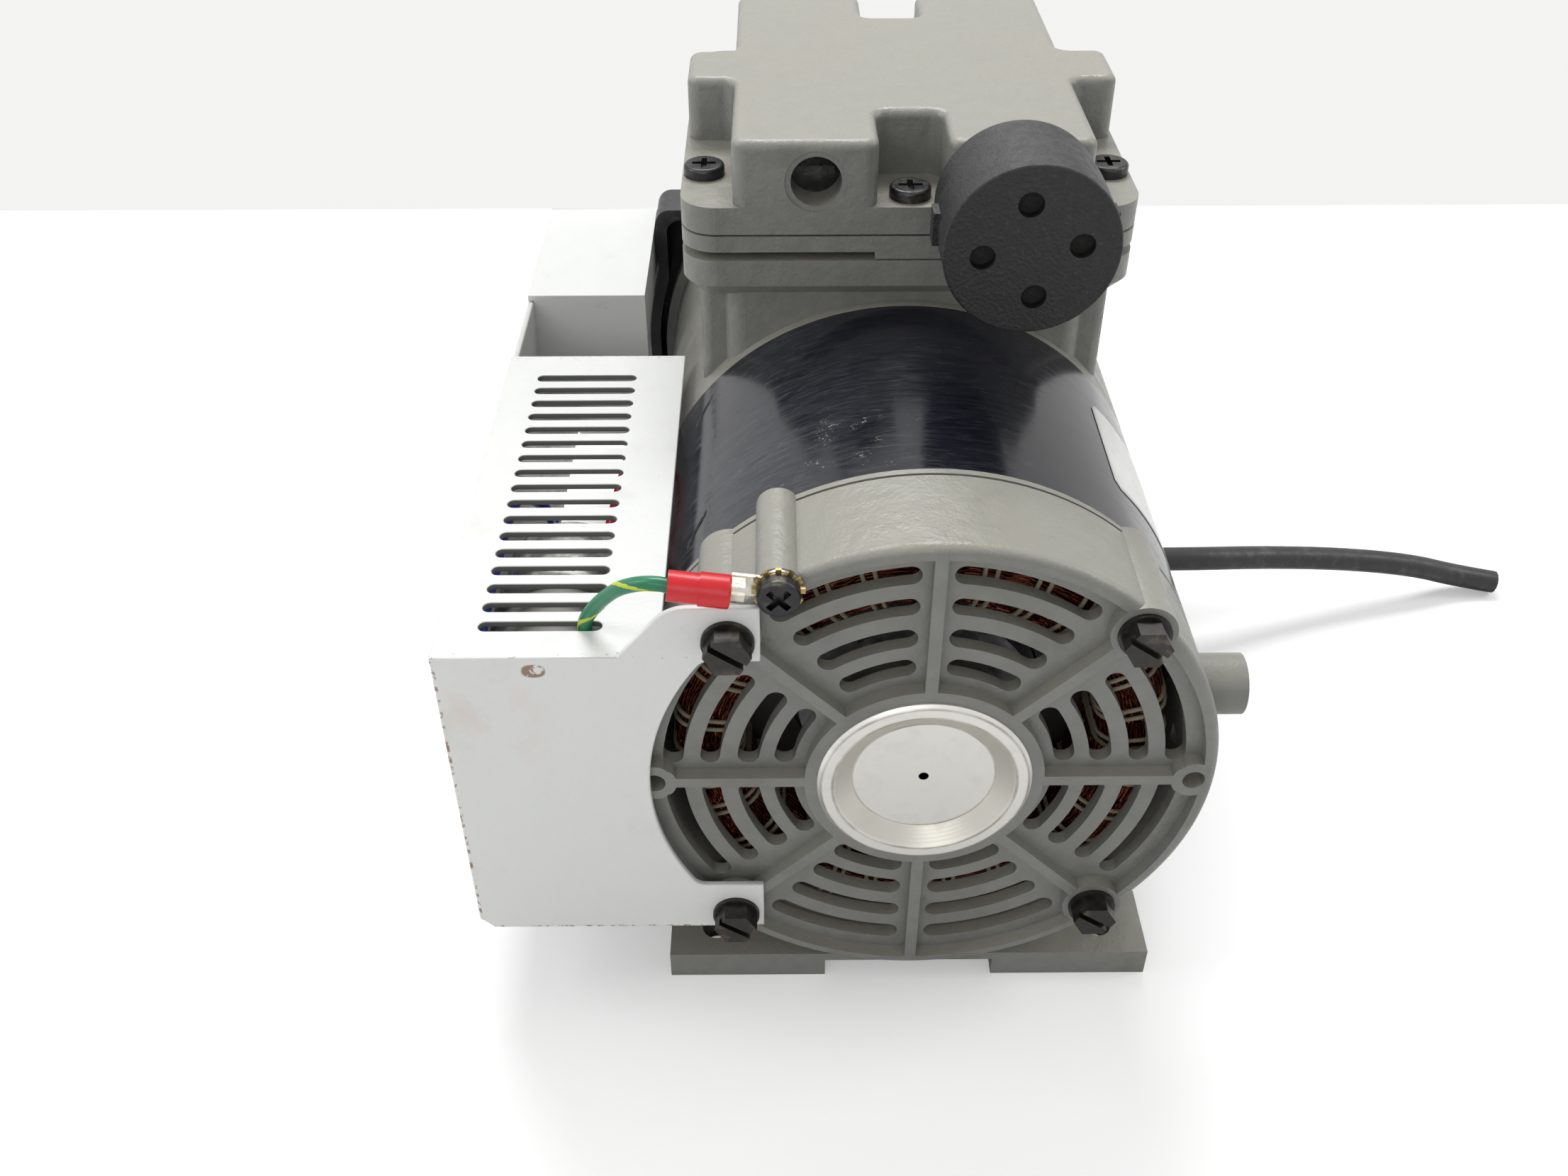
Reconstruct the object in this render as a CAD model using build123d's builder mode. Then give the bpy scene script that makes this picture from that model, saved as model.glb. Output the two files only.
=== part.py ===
from build123d import *
import os
from math import asin, atan2, cos, degrees, pi, radians, sin, sqrt, tan

# Motor-driven diaphragm vacuum pump with an electrical bracket on its left side.
# Millimetres. X to the right, Y from the motor's end bell to the fan, Z up.
# The origin is on the base plane, in the middle of the four foot holes; the motor axis lies above it.

# ------------------------------------------------------------------ driving sizes: base and motor
axis_height = 65.4
foot_pitch_x = 88.9
foot_pitch_y = 152.4
foot_setback = 9.5            # bell face to the front pair of foot holes
foot_hole_radius = 3.3
foot_width = 110.0
foot_thickness = 7.5
foot_length = 18.0
foot_front_inset = 1.5
foot_web_width = 100.0
foot_web_thickness = 4.0
foot_web_lift = 1.0           # the web stops this far above the base plane
foot_web_rise = 38.0
notch_width = 38.6
notch_height = 5.2

bell_radius = 59.9
bell_depth = 25.6
bell_edge_radius = 2.0
bell_wall = 5.9
face_recess = 3.0
face_web = 3.0
rim_land = 2.9                # flush ring left outside the recessed face
hub_land = 2.6                # flush ring left round the bearing cap
rib_width = 2.5
bell_groove_width = 0.7
bell_groove_depth = 0.5
bell_groove_setback = 2.2
bolt_square = 78.6            # square of the four through-bolts
bolt_ear_radius = 6.4
bolt_ear_core_radius = 4.2    # what is left of an ear inside the bell
side_hole_pitch = 110.6
side_hole_radius = 2.3
side_hole_depth = 15.0
side_pad_radius = 4.6

slot_rings = [(29.0, 4.2), (36.35, 4.5), (44.1, 4.0), (51.6, 4.2)]    # (mean radius, width)
slot_gap_at_upright_ribs = 3.0
slot_angle_at_slanted_ribs = 8.0

side_boss_radius = 6.4
side_boss_reach = 66.0
side_boss_depth = 15.0        # behind the bell face
side_boss_rise = 13.1         # above the motor axis
side_boss_hole_radius = 2.6
side_boss_hole_depth = 10.0

ground_boss_radius = 4.3
ground_screw_x = -29.7
ground_screw_rise = 51.3      # above the motor axis

shell_length = 66.6
shell_wall = 1.6

cap_radius = 22.0
cap_sheet = 0.8
cap_rim = 3.2
cap_dish_depth = 2.4
cap_rim_height = 1.2
cap_hole_radius = 0.9

fit = 0.02                    # seats pressed or slipped together on one body
running_fit = 0.03            # journals that turn in another body
bolt_clearance = 0.3

# ------------------------------------------------------------------ driving sizes: rotating parts
journal_radius = 6.0
rotor_seat_radius = 7.0
crank_seat_radius = 5.0
front_bearing_radius = 16.0
front_bearing_width = 10.0
front_bearing_setback = 8.0   # bell face to the front bearing
rear_bearing_radius = 16.0
rear_bearing_width = 10.0
tail_bearing_radius = 15.0
tail_bearing_width = 9.0
bearing_ring = 2.6
bearing_shield_recess = 0.6
bearing_lip = 3.5
housing_wall = 4.0
housing_rear = 1.0            # the front housing stands this far past its bearing

core_setback = 3.0            # bell's rear edge to the stator core
core_length = 52.0
air_gap = 0.5
rotor_radius = 27.0
bolt_notch_width = 6.4
bolt_notch_margin = 0.6

winding_inner_radius = 38.0
winding_outer_radius = 51.0
winding_front_overhang = 18.6
winding_rear_overhang = 10.0
winding_round = 4.5

end_ring_radius = 25.5
end_ring_bore = 13.0
end_ring_thickness = 5.0
cage_blade_count = 9
cage_blade_height = 4.0
cage_blade_width = 2.4
cage_blade_length = 9.0

# ------------------------------------------------------------------ driving sizes: crank and rod
crank_setback = 50.8          # motor shell's rear edge to the rod's middle
crank_throw = 3.5
rod_bearing_bore = 10.0
rod_bearing_radius = 21.0
rod_bearing_width = 12.0
eccentric_hub_radius = 14.0
eccentric_hub_length = 5.0
eccentric_end = 0.6           # journal stands out of the bearing
set_screw_radius = 2.0
counterweight_radius = 31.0
counterweight_thickness = 8.0
counterweight_angle = 150.0
counterweight_hub = 11.0

rod_ring_wall = 4.0
rod_width = 11.0
shank_foot_width = 20.0
shank_top_width = 12.0
rod_pocket_depth = 3.0
rod_pocket_edge = 2.2
rod_pad_radius = 12.0
rod_pad_thickness = 4.0

# ------------------------------------------------------------------ driving sizes: diaphragm and head
deck_height = 136.6
deck_flange_thickness = 9.6
deck_flange_taper = 3.4
head_width = 102.0
head_length = 102.0
head_corner = 8.0
chamber_radius = 34.0
diaphragm_thickness = 2.1
diaphragm_radius = 41.5
clamp_radius = 24.0
clamp_plate_thickness = 3.0
clamp_washer_thickness = 2.5
clamp_edge_round = 0.8
tdc_clearance = 0.8           # clamp plate below the valve plate at top dead centre
clamp_screw_radius = 3.0
clamp_screw_head = 6.0
clamp_screw_length = 20.0
clamp_socket_radius = 2.2
clamp_socket_depth = 2.0

valve_plate_thickness = 3.7
valve_recess = 1.5
valve_port_radius = 2.0
valve_port_pitch = 7.0
plate_lip_start = -7.7
plate_lip_drop = 1.7
plate_lip_width = 3.0

reed_x = 22.0
reed_width = 13.0
reed_length = 26.0
reed_thickness = 0.3
reed_root_offset = -10.0      # the flexing part starts this far before the middle
reed_gap = 0.3
keeper_length = 5.6
keeper_thickness = 0.9
reed_stop_angle = 6.0

gasket_thickness = 0.5
head_flange_height = 6.3
head_height = 21.1
head_shoulder = 11.7          # block to the head's side
block_corner = 3.0
side_port_setback = 0.7       # side bosses behind the head's side
side_port_boss_length = 20.0
side_port_boss_offset = -2.5  # from the head's middle
pocket_width = 15.0
pocket_length = 18.5
head_edge_round = 2.0
head_chamber_x = 23.0
head_chamber_width = 24.0
head_chamber_end = 8.0        # wall with the port, at each end
head_chamber_height = 17.0
port_x = 21.0
port_height = 155.0
port_radius = 5.6
port_face_radius = 6.9
port_face_depth = 0.4

head_screw_radius = 2.1
head_screw_length = 19.7
pan_head_radius = 4.65
pan_head_height = 2.6
cross_width = 1.3
cross_length = 5.4
cross_depth = 1.4
middle_screw_inset = 6.3      # from the head's end
corner_screw_inset = 5.0      # from the head's side
corner_screw_setback = 18.8   # from the head's end

# ------------------------------------------------------------------ driving sizes: crankcase
crankcase_length = 93.8
crankcase_wall = 4.0
motor_plate = 5.0
rear_flange_radius = 62.5
rear_flange_thickness = 6.0
crank_chamber_radius = 36.0
crank_chamber_setback = 19.8  # crankcase front to the crank chamber
crank_chamber_length = 60.0
crank_chamber_wall = 4.0
bearing_stop = 1.0            # lip between each bearing and the crank chamber
neck_width = 84.0
neck_front_inset = 2.8        # behind the crankcase's front
neck_rear_inset = 4.0         # ahead of the crankcase's rear
neck_corner = 5.0
pillar_width = 94.8
pillar_length = 17.0
pillar_inset = 3.0
vent_inner_radius = 42.0
vent_outer_radius = 53.0
vent_half_angle = 26.0        # each way from the middle of a window
bolt_boss_radius = 5.6
bolt_boss_length = 14.0
rear_foot_lead = 9.0          # rear foot starts this far before its holes

# ------------------------------------------------------------------ driving sizes: fan and cover
fan_radius = 47.0
fan_hub_radius = 10.0
fan_plate_thickness = 1.6
fan_blade_count = 9
fan_blade_height = 7.0
fan_blade_width = 1.8
fan_gap = 1.6                 # fan to the crankcase's rear face
fan_blade_lean = 24.0
cover_radius = 67.5
cover_wall = 3.0
cover_back = 2.5
cover_depth = 13.5            # crankcase's rear face to the cover's back
cover_skirt = 3.0
cover_flange_gap = 0.5        # skirt over the crankcase's rear flange
cover_shoulder_width = 128.0
cover_shoulder_top = 108.0
cover_shoulder_bottom = 79.5
cover_shoulder_round = 4.0
cover_top_gap = 2.0
cover_floor_gap = 1.5         # flat underside, above the base plane
cover_column_radius = 5.2
grille_rings = [(16.0, 5.0), (24.5, 5.0), (33.0, 5.0), (41.5, 5.0)]   # (mean radius, width)
grille_sectors = 6
grille_spoke = 4.5
cover_screw_radius = 2.0
cover_screw_grip = 10.0

# ------------------------------------------------------------------ driving sizes: bracket
sheet = 1.5
bracket_left = -96.0
bracket_bottom = 21.5
bracket_top = 101.0
bracket_bottom_chamfer = 3.0
plate_cutout_radius = 56.0
upper_tab_top = 112.7
upper_tab_bottom = 99.6
tab_end = -33.2
tab_slope_foot = -60.3
tab_slope_top = -50.5
tab_round = 3.0
lower_tab_top = 35.2
deck_right = -52.5
deck_length = 112.8
vent_slot_count = 17
vent_slot_pitch = 5.88
vent_slot_first = 7.9
vent_slot_left = -88.0
vent_slot_right = -63.9
vent_slot_width = 2.8
box_front = 145.0             # behind the bell face
box_right = -64.8
box_right_drop = 13.1
box_front_drop = 30.0
box_left_drop = 16.0

capacitor_radius = 15.0
capacitor_length = 40.0
capacitor_front = 13.0        # behind the bell face
capacitor_x = -75.4
capacitor_height = 79.0
capacitor_edge = 1.5
capacitor_bead = 0.6
capacitor_bead_width = 2.0
blade_width = 6.3
blade_thickness = 0.8
blade_length = 8.0
blade_offset = 6.0
clamp_band = 1.0
clamp_band_width = 9.0
clamp_band_setback = 16.0
clamp_foot_length = 9.0

# ------------------------------------------------------------------ driving sizes: wiring
terminal_tilt = 8.0
tongue_thickness = 0.8
tongue_radius = 4.1
tongue_neck_width = 4.4
sleeve_start = 8.8            # from the ground screw, along the terminal
sleeve_length = 11.5
sleeve_radius = 3.2
sleeve_flare_radius = 2.9
sleeve_axis_lift = 3.1        # in front of the bell face
barrel_radius = 1.9
barrel_length = 2.5           # bare barrel ahead of the sleeve
barrel_wall = 1.0
wire_grip = 5.0               # wire inside the sleeve
star_washer_radius = 4.65
star_washer_root = 3.9
star_washer_teeth = 12
star_washer_thickness = 0.7
ground_screw_radius = 1.9
ground_head_radius = 4.1
ground_head_height = 2.8
ground_screw_length = 14.0

bolt_shank_radius = 2.4
bolt_washer_radius = 5.1
bolt_washer_thickness = 1.0
bolt_hex_flats = 8.0
bolt_hex_height = 3.9
bolt_slot_width = 1.3
bolt_slot_depth = 1.6
bolt_engagement = 11.0

wire_radius = 1.35
lead_radius = 1.3
grommet_depth = 26.0          # behind the crankcase's front
grommet_height = 60.0
grommet_radius = 6.0
grommet_bore = 4.6
grommet_flange = 8.0
grommet_flange_thickness = 1.6

cord_diameter = 6.9
gland_depth = 33.8            # behind the crankcase's front
gland_height = 26.0
gland_boss_radius = 9.5
gland_boss_face = 52.0
gland_thread_radius = 6.2
gland_grip = 10.0
gland_nut_radius = 7.8
gland_nut_length = 5.0
gland_sleeve_length = 20.0
gland_tip_radius = 4.4

filter_radius = 17.9
filter_collar_length = 8.0    # hex between the head and the filter's back
filter_body_length = 11.0
filter_cap_length = 15.2
filter_step = 0.5
filter_wall = 2.2
filter_hole_circle = 9.9
filter_hole_radius = 2.6
filter_hole_turn = 7.0
filter_hex_flats = 16.0
filter_thread_length = 7.0
filter_bore_radius = 3.4
filter_ear_width = 7.0
filter_ear_height = 1.0
filter_ear_length = 5.0
felt_thickness = 5.0
felt_clearance = 0.2

# ------------------------------------------------------------------ places worked out from them
bell_face_y = -(foot_pitch_y / 2 + foot_setback)
shell_front_y = bell_face_y + bell_depth
shell_rear_y = shell_front_y + shell_length
crankcase_rear_y = shell_rear_y + crankcase_length
cover_back_y = crankcase_rear_y + cover_depth
rod_y = shell_rear_y + crank_setback
neck_length = crankcase_length - neck_front_inset - neck_rear_inset
head_front_y = rod_y - head_length / 2
head_rear_y = rod_y + head_length / 2
pin_height = axis_height + crank_throw

plate_bottom = deck_height + diaphragm_thickness
plate_top = plate_bottom + valve_plate_thickness
head_bottom = plate_top + gasket_thickness
shoulder_top = head_bottom + head_flange_height
deck_flange_bottom = deck_height - deck_flange_thickness
valve_ceiling = plate_bottom + valve_recess
clamp_top = plate_bottom - tdc_clearance
web_top = clamp_top - clamp_plate_thickness
web_bottom = web_top - diaphragm_thickness
rod_top = web_bottom - clamp_washer_thickness

core_front_y = shell_front_y + core_setback
core_rear_y = core_front_y + core_length
front_bearing_y = bell_face_y + front_bearing_setback
crank_chamber_front_y = shell_rear_y + crank_chamber_setback
crank_chamber_rear_y = crank_chamber_front_y + crank_chamber_length
rear_bearing_y = crank_chamber_front_y - bearing_stop - rear_bearing_width
tail_bearing_y = crank_chamber_rear_y + bearing_stop
fan_front_y = crankcase_rear_y + fan_gap
grommet_y = shell_rear_y + grommet_depth

block_width = head_width - 2 * head_shoulder
side_port_boss_width = head_width - 2 * side_port_setback
head_chamber_length = head_length - 2 * head_chamber_end
middle_screw_y = head_length / 2 - middle_screw_inset
corner_screw_x = head_width / 2 - corner_screw_inset
corner_screw_y = head_length / 2 - corner_screw_setback

half_square = bolt_square / 2
bolt_corners = [(x, z) for x in (-half_square, half_square) for z in (-half_square, half_square)]
head_screws_xy = [(0, -middle_screw_y), (0, middle_screw_y)]
for screw_x in (-corner_screw_x, corner_screw_x):
    head_screws_xy += [(screw_x, -corner_screw_y), (screw_x, corner_screw_y)]


def across(y, z=axis_height):
    """Plane square to the shaft at depth y, seen from the bell: x right, y up. Rearwards is negative."""
    return Plane(origin=(0, y, z), x_dir=(1, 0, 0), z_dir=(0, -1, 0))


def sideways(x, y, z):
    """Plane facing +X at a point."""
    return Plane(origin=(x, y, z), x_dir=(0, 1, 0), z_dir=(1, 0, 0))


def arc_between(radius, start, end):
    """Arc about the sketch's origin, for a slot's middle line."""
    return Edge.make_circle(radius, start_angle=start, end_angle=end)


def route_radii(points):
    """Largest bend at each inner point: 0.45 of the shorter run over the tangent of half the turn."""
    radii = []
    for before, here, after in zip(points, points[1:], points[2:]):
        first = Vector(*here) - Vector(*before)
        second = Vector(*after) - Vector(*here)
        turn = radians(first.get_angle(second))
        radii.append(0.45 * min(first.length, second.length) / tan(turn / 2))
    return radii


# ------------------------------------------------------------------ end bell
with BuildPart() as end_bell:
    with BuildSketch(across(bell_face_y)):
        Circle(bell_radius)
    extrude(amount=-bell_depth)
    fillet(end_bell.edges().group_by(Axis.Y)[0], bell_edge_radius)
    with BuildSketch(across(bell_face_y)):
        with Locations(*bolt_corners):
            Circle(bolt_ear_radius)
        with Locations((ground_screw_x, ground_screw_rise)):
            Circle(ground_boss_radius)
        with Locations((ground_screw_x, ground_screw_rise - ground_boss_radius)):
            Rectangle(2 * ground_boss_radius, 2 * ground_boss_radius)
    extrude(amount=-bell_depth)
    boss_root_x = bell_radius - bell_wall
    with BuildSketch(sideways(boss_root_x, bell_face_y + side_boss_depth, axis_height + side_boss_rise)):
        Circle(side_boss_radius)
    extrude(amount=side_boss_reach - bell_radius + bell_wall)
    # foot plate with its front notch, and the web that joins it to the round
    with BuildSketch(across(bell_face_y + foot_front_inset, 0)):
        Rectangle(foot_width, foot_thickness, align=(Align.CENTER, Align.MIN))
        Rectangle(notch_width, notch_height, align=(Align.CENTER, Align.MIN), mode=Mode.SUBTRACT)
    extrude(amount=-foot_length)
    with BuildSketch(across(bell_face_y + foot_front_inset + foot_length, foot_web_lift)):
        Rectangle(foot_web_width, foot_web_rise, align=(Align.CENTER, Align.MIN))
    extrude(amount=foot_web_thickness)
    # hollow behind the face, round the bearing housing
    with BuildSketch(across(bell_face_y + face_recess + face_web)):
        Circle(bell_radius - bell_wall)
        Circle(front_bearing_radius + housing_wall, mode=Mode.SUBTRACT)
        with Locations(*bolt_corners):
            Circle(bolt_ear_core_radius, mode=Mode.SUBTRACT)
    extrude(amount=-(bell_depth - face_recess - face_web), mode=Mode.SUBTRACT)
    with BuildSketch(across(front_bearing_y + front_bearing_width + housing_rear)):
        Circle(front_bearing_radius + 2 * housing_wall)
    extrude(amount=-bell_depth, mode=Mode.SUBTRACT)
    # recessed face between the ribs
    with BuildSketch(across(bell_face_y)):
        Circle(bell_radius - rim_land)
        Circle(cap_radius + hub_land, mode=Mode.SUBTRACT)
        for angle in range(0, 180, 45):
            Rectangle(2 * bell_radius, rib_width, rotation=angle, mode=Mode.SUBTRACT)
        with Locations(*bolt_corners):
            Circle(bolt_ear_radius, mode=Mode.SUBTRACT)
        with Locations((-side_hole_pitch / 2, 0), (side_hole_pitch / 2, 0)):
            Circle(side_pad_radius, mode=Mode.SUBTRACT)
    extrude(amount=-face_recess, mode=Mode.SUBTRACT)
    # four rings of vent slots in eight sectors
    with BuildSketch(across(bell_face_y)):
        for ring_radius, slot_width in slot_rings:
            cap_angle = degrees(slot_width / 2 / ring_radius)
            near_rib = degrees(asin(slot_gap_at_upright_ribs / ring_radius)) + cap_angle
            near_slant = slot_angle_at_slanted_ribs + cap_angle
            for quarter in range(0, 360, 90):
                SlotArc(arc_between(ring_radius, quarter + near_rib, quarter + 45 - near_slant), slot_width)
                SlotArc(arc_between(ring_radius, quarter + 45 + near_slant, quarter + 90 - near_rib), slot_width)
    extrude(amount=-(face_recess + face_web), mode=Mode.SUBTRACT)
    # bearing cap seat, shaft opening and bearing bore
    with BuildSketch(across(bell_face_y)):
        Circle(cap_radius + fit)
    extrude(amount=-face_recess, mode=Mode.SUBTRACT)
    with BuildSketch(across(bell_face_y + face_recess)):
        Circle(front_bearing_radius - bearing_lip)
    extrude(amount=-(front_bearing_setback - face_recess), mode=Mode.SUBTRACT)
    with BuildSketch(across(front_bearing_y)):
        Circle(front_bearing_radius + fit)
    extrude(amount=-bell_depth, mode=Mode.SUBTRACT)
    # through-bolt holes, side holes, ground screw hole, side boss hole
    with BuildSketch(across(bell_face_y)):
        with Locations(*bolt_corners):
            Circle(bolt_shank_radius + bolt_clearance)
    extrude(amount=-bell_depth, mode=Mode.SUBTRACT)
    with BuildSketch(across(bell_face_y)):
        with Locations((-side_hole_pitch / 2, 0), (side_hole_pitch / 2, 0)):
            Circle(side_hole_radius)
    extrude(amount=-side_hole_depth, mode=Mode.SUBTRACT)
    with BuildSketch(across(bell_face_y)):
        with Locations((ground_screw_x, ground_screw_rise)):
            Circle(ground_screw_radius + fit)
    extrude(amount=-ground_screw_length, mode=Mode.SUBTRACT)
    with BuildSketch(sideways(side_boss_reach, bell_face_y + side_boss_depth, axis_height + side_boss_rise)):
        Circle(side_boss_hole_radius)
    extrude(amount=-side_boss_hole_depth, mode=Mode.SUBTRACT)
    # thin groove round the rear edge, and the foot holes
    with BuildSketch(across(shell_front_y - bell_groove_setback)):
        Circle(bell_radius + bolt_ear_radius)
        Circle(bell_radius - bell_groove_depth, mode=Mode.SUBTRACT)
        with Locations(*bolt_corners):
            Circle(bolt_ear_radius, mode=Mode.SUBTRACT)
        with Locations((ground_screw_x, ground_screw_rise)):
            Circle(ground_boss_radius, mode=Mode.SUBTRACT)
        with Locations((0, -axis_height)):
            Rectangle(foot_width + 1, 2 * foot_web_rise, mode=Mode.SUBTRACT)
    extrude(amount=-bell_groove_width, mode=Mode.SUBTRACT)
    with Locations(*[(side * foot_pitch_x / 2, -foot_pitch_y / 2, foot_thickness) for side in (-1, 1)]):
        Hole(foot_hole_radius, depth=foot_thickness)
end_bell.part.label = "end_bell"
export_step(end_bell.part, "parts/end_bell.step")

# ------------------------------------------------------------------ bearing cap, a dished pressing
with BuildPart() as bearing_cap:
    with BuildSketch(Plane(origin=(0, bell_face_y, axis_height), x_dir=(1, 0, 0), z_dir=(0, 0, 1))):
        with BuildLine():
            Polyline(
                (cap_hole_radius, cap_dish_depth),
                (cap_radius - 2 * cap_rim, cap_dish_depth),
                (cap_radius - cap_rim, -cap_rim_height + cap_sheet),
                (cap_radius - cap_rim, face_recess - cap_sheet),
                (cap_radius - cap_rim, face_recess),
                (cap_radius, face_recess),
                (cap_radius, -cap_rim_height + cap_sheet),
                (cap_radius - cap_sheet, -cap_rim_height),
                (cap_radius - cap_rim, -cap_rim_height),
                (cap_radius - 2 * cap_rim - cap_sheet, cap_dish_depth - cap_sheet),
                (cap_hole_radius, cap_dish_depth - cap_sheet),
                close=True,
            )
        make_face()
    revolve(axis=Axis((0, bell_face_y, axis_height), (0, 1, 0)))
bearing_cap.part.label = "bearing_cap"
export_step(bearing_cap.part, "parts/bearing_cap.step")


def ball_bearing(start_y, bore, outer, width, axis_z):
    """Sealed ball bearing: two rings with a shield between them, set back on both faces."""
    with BuildPart() as bearing:
        with BuildSketch(across(start_y, axis_z)):
            Circle(outer)
            Circle(bore, mode=Mode.SUBTRACT)
        extrude(amount=-width)
        for face_y in (start_y, start_y + width - bearing_shield_recess):
            with BuildSketch(across(face_y, axis_z)):
                Circle(outer - bearing_ring)
                Circle(bore + bearing_ring, mode=Mode.SUBTRACT)
            extrude(amount=-bearing_shield_recess, mode=Mode.SUBTRACT)
    return bearing


# ------------------------------------------------------------------ the three shaft bearings
front_bearing = ball_bearing(
    front_bearing_y, journal_radius + running_fit, front_bearing_radius, front_bearing_width, axis_height
)
front_bearing.part.label = "front_bearing"
export_step(front_bearing.part, "parts/front_bearing.step")

rear_bearing = ball_bearing(
    rear_bearing_y, journal_radius + running_fit, rear_bearing_radius, rear_bearing_width, axis_height
)
rear_bearing.part.label = "rear_bearing"
export_step(rear_bearing.part, "parts/rear_bearing.step")

tail_bearing = ball_bearing(
    tail_bearing_y, crank_seat_radius + running_fit, tail_bearing_radius, tail_bearing_width, axis_height
)
tail_bearing.part.label = "tail_bearing"
export_step(tail_bearing.part, "parts/tail_bearing.step")

# ------------------------------------------------------------------ motor shell
with BuildPart() as motor_shell:
    with BuildSketch(across(shell_front_y)):
        Circle(bell_radius)
        Circle(bell_radius - shell_wall, mode=Mode.SUBTRACT)
    extrude(amount=-shell_length)
motor_shell.part.label = "motor_shell"
export_step(motor_shell.part, "parts/motor_shell.step")

# ------------------------------------------------------------------ stator core, notched for the bolts
with BuildPart() as stator_core:
    with BuildSketch(across(core_front_y)):
        Circle(bell_radius - shell_wall - fit)
        Circle(rotor_radius + air_gap, mode=Mode.SUBTRACT)
        for x, z in bolt_corners:
            notch_start = sqrt(x * x + z * z) - bolt_shank_radius - bolt_notch_margin
            with Locations(Rotation(0, 0, degrees(atan2(z, x)))):
                with Locations((notch_start, 0)):
                    Rectangle(bell_radius, bolt_notch_width, align=(Align.MIN, Align.CENTER), mode=Mode.SUBTRACT)
    extrude(amount=-core_length)
stator_core.part.label = "stator_core"
export_step(stator_core.part, "parts/stator_core.step")

# ------------------------------------------------------------------ windings: end turns at each end
with BuildPart() as stator_windings:
    for start_y, overhang in ((core_front_y, winding_front_overhang), (core_rear_y, -winding_rear_overhang)):
        with BuildSketch(across(start_y)):
            Circle(winding_outer_radius)
            Circle(winding_inner_radius, mode=Mode.SUBTRACT)
        extrude(amount=overhang)
    fillet(stator_windings.edges().filter_by(GeomType.CIRCLE).group_by(Axis.Y)[0], winding_round)
    fillet(stator_windings.edges().filter_by(GeomType.CIRCLE).group_by(Axis.Y)[-1], winding_round)
stator_windings.part.label = "stator_windings"
export_step(stator_windings.part, "parts/stator_windings.step")

# ------------------------------------------------------------------ rotor
with BuildPart() as rotor_core:
    with BuildSketch(across(core_front_y)):
        Circle(rotor_radius)
        Circle(rotor_seat_radius + fit, mode=Mode.SUBTRACT)
    extrude(amount=-core_length)
rotor_core.part.label = "rotor_core"
export_step(rotor_core.part, "parts/rotor_core.step")

with BuildPart() as rotor_cage:
    for start_y, side in ((core_front_y, 1), (core_rear_y, -1)):
        with BuildSketch(across(start_y)):
            Circle(end_ring_radius)
            Circle(end_ring_bore, mode=Mode.SUBTRACT)
        extrude(amount=side * end_ring_thickness)
        with BuildSketch(across(start_y - side * end_ring_thickness)):
            with PolarLocations(end_ring_radius - cage_blade_length / 2 - 1, cage_blade_count):
                Rectangle(cage_blade_length, cage_blade_width)
        extrude(amount=side * cage_blade_height)
rotor_cage.part.label = "rotor_cage"
export_step(rotor_cage.part, "parts/rotor_cage.step")

shaft_steps = [
    (front_bearing_y - 1, front_bearing_y + front_bearing_width + 2, journal_radius),
    (front_bearing_y + front_bearing_width + 2, rear_bearing_y - 1, rotor_seat_radius),
    (rear_bearing_y - 1, rear_bearing_y + rear_bearing_width + 2, journal_radius),
    (rear_bearing_y + rear_bearing_width + 2, fan_front_y + fan_plate_thickness + fan_blade_height, crank_seat_radius),
]
with BuildPart() as motor_shaft:
    for step_start, step_end, step_radius in shaft_steps:
        with BuildSketch(across(step_start)):
            Circle(step_radius)
        extrude(amount=step_start - step_end)
motor_shaft.part.label = "motor_shaft"
export_step(motor_shaft.part, "parts/motor_shaft.step")

# ------------------------------------------------------------------ eccentric, counterweight, rod bearing
bearing_front_y = rod_y - rod_bearing_width / 2
with BuildPart() as eccentric:
    with BuildSketch(across(bearing_front_y - eccentric_hub_length)):
        Circle(eccentric_hub_radius)
    extrude(amount=-eccentric_hub_length)
    with BuildSketch(across(bearing_front_y, pin_height)):
        Circle(rod_bearing_bore)
    extrude(amount=-(rod_bearing_width + eccentric_end))
    with BuildSketch(across(bearing_front_y - eccentric_hub_length)):
        Circle(crank_seat_radius + fit)
    extrude(amount=-(eccentric_hub_length + rod_bearing_width + eccentric_end), mode=Mode.SUBTRACT)
    with BuildSketch(sideways(0, bearing_front_y - eccentric_hub_length / 2, axis_height)):
        Circle(set_screw_radius)
    extrude(amount=eccentric_hub_radius, mode=Mode.SUBTRACT)
eccentric.part.label = "eccentric"
export_step(eccentric.part, "parts/eccentric.step")

counterweight_rear_y = bearing_front_y - eccentric_hub_length
with BuildPart() as counterweight:
    with BuildSketch(across(counterweight_rear_y - counterweight_thickness)):
        with BuildLine():
            start = 270 - counterweight_angle / 2
            CenterArc((0, 0), counterweight_radius, start, counterweight_angle)
            Line((0, 0), (counterweight_radius * cos(radians(start)), counterweight_radius * sin(radians(start))))
            end = 270 + counterweight_angle / 2
            Line((0, 0), (counterweight_radius * cos(radians(end)), counterweight_radius * sin(radians(end))))
        make_face()
        Circle(counterweight_hub)
        Circle(crank_seat_radius + fit, mode=Mode.SUBTRACT)
    extrude(amount=-counterweight_thickness)
counterweight.part.label = "counterweight"
export_step(counterweight.part, "parts/counterweight.step")

rod_bearing = ball_bearing(
    bearing_front_y, rod_bearing_bore + running_fit, rod_bearing_radius, rod_bearing_width, pin_height
)
rod_bearing.part.label = "rod_bearing"
export_step(rod_bearing.part, "parts/rod_bearing.step")

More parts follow.
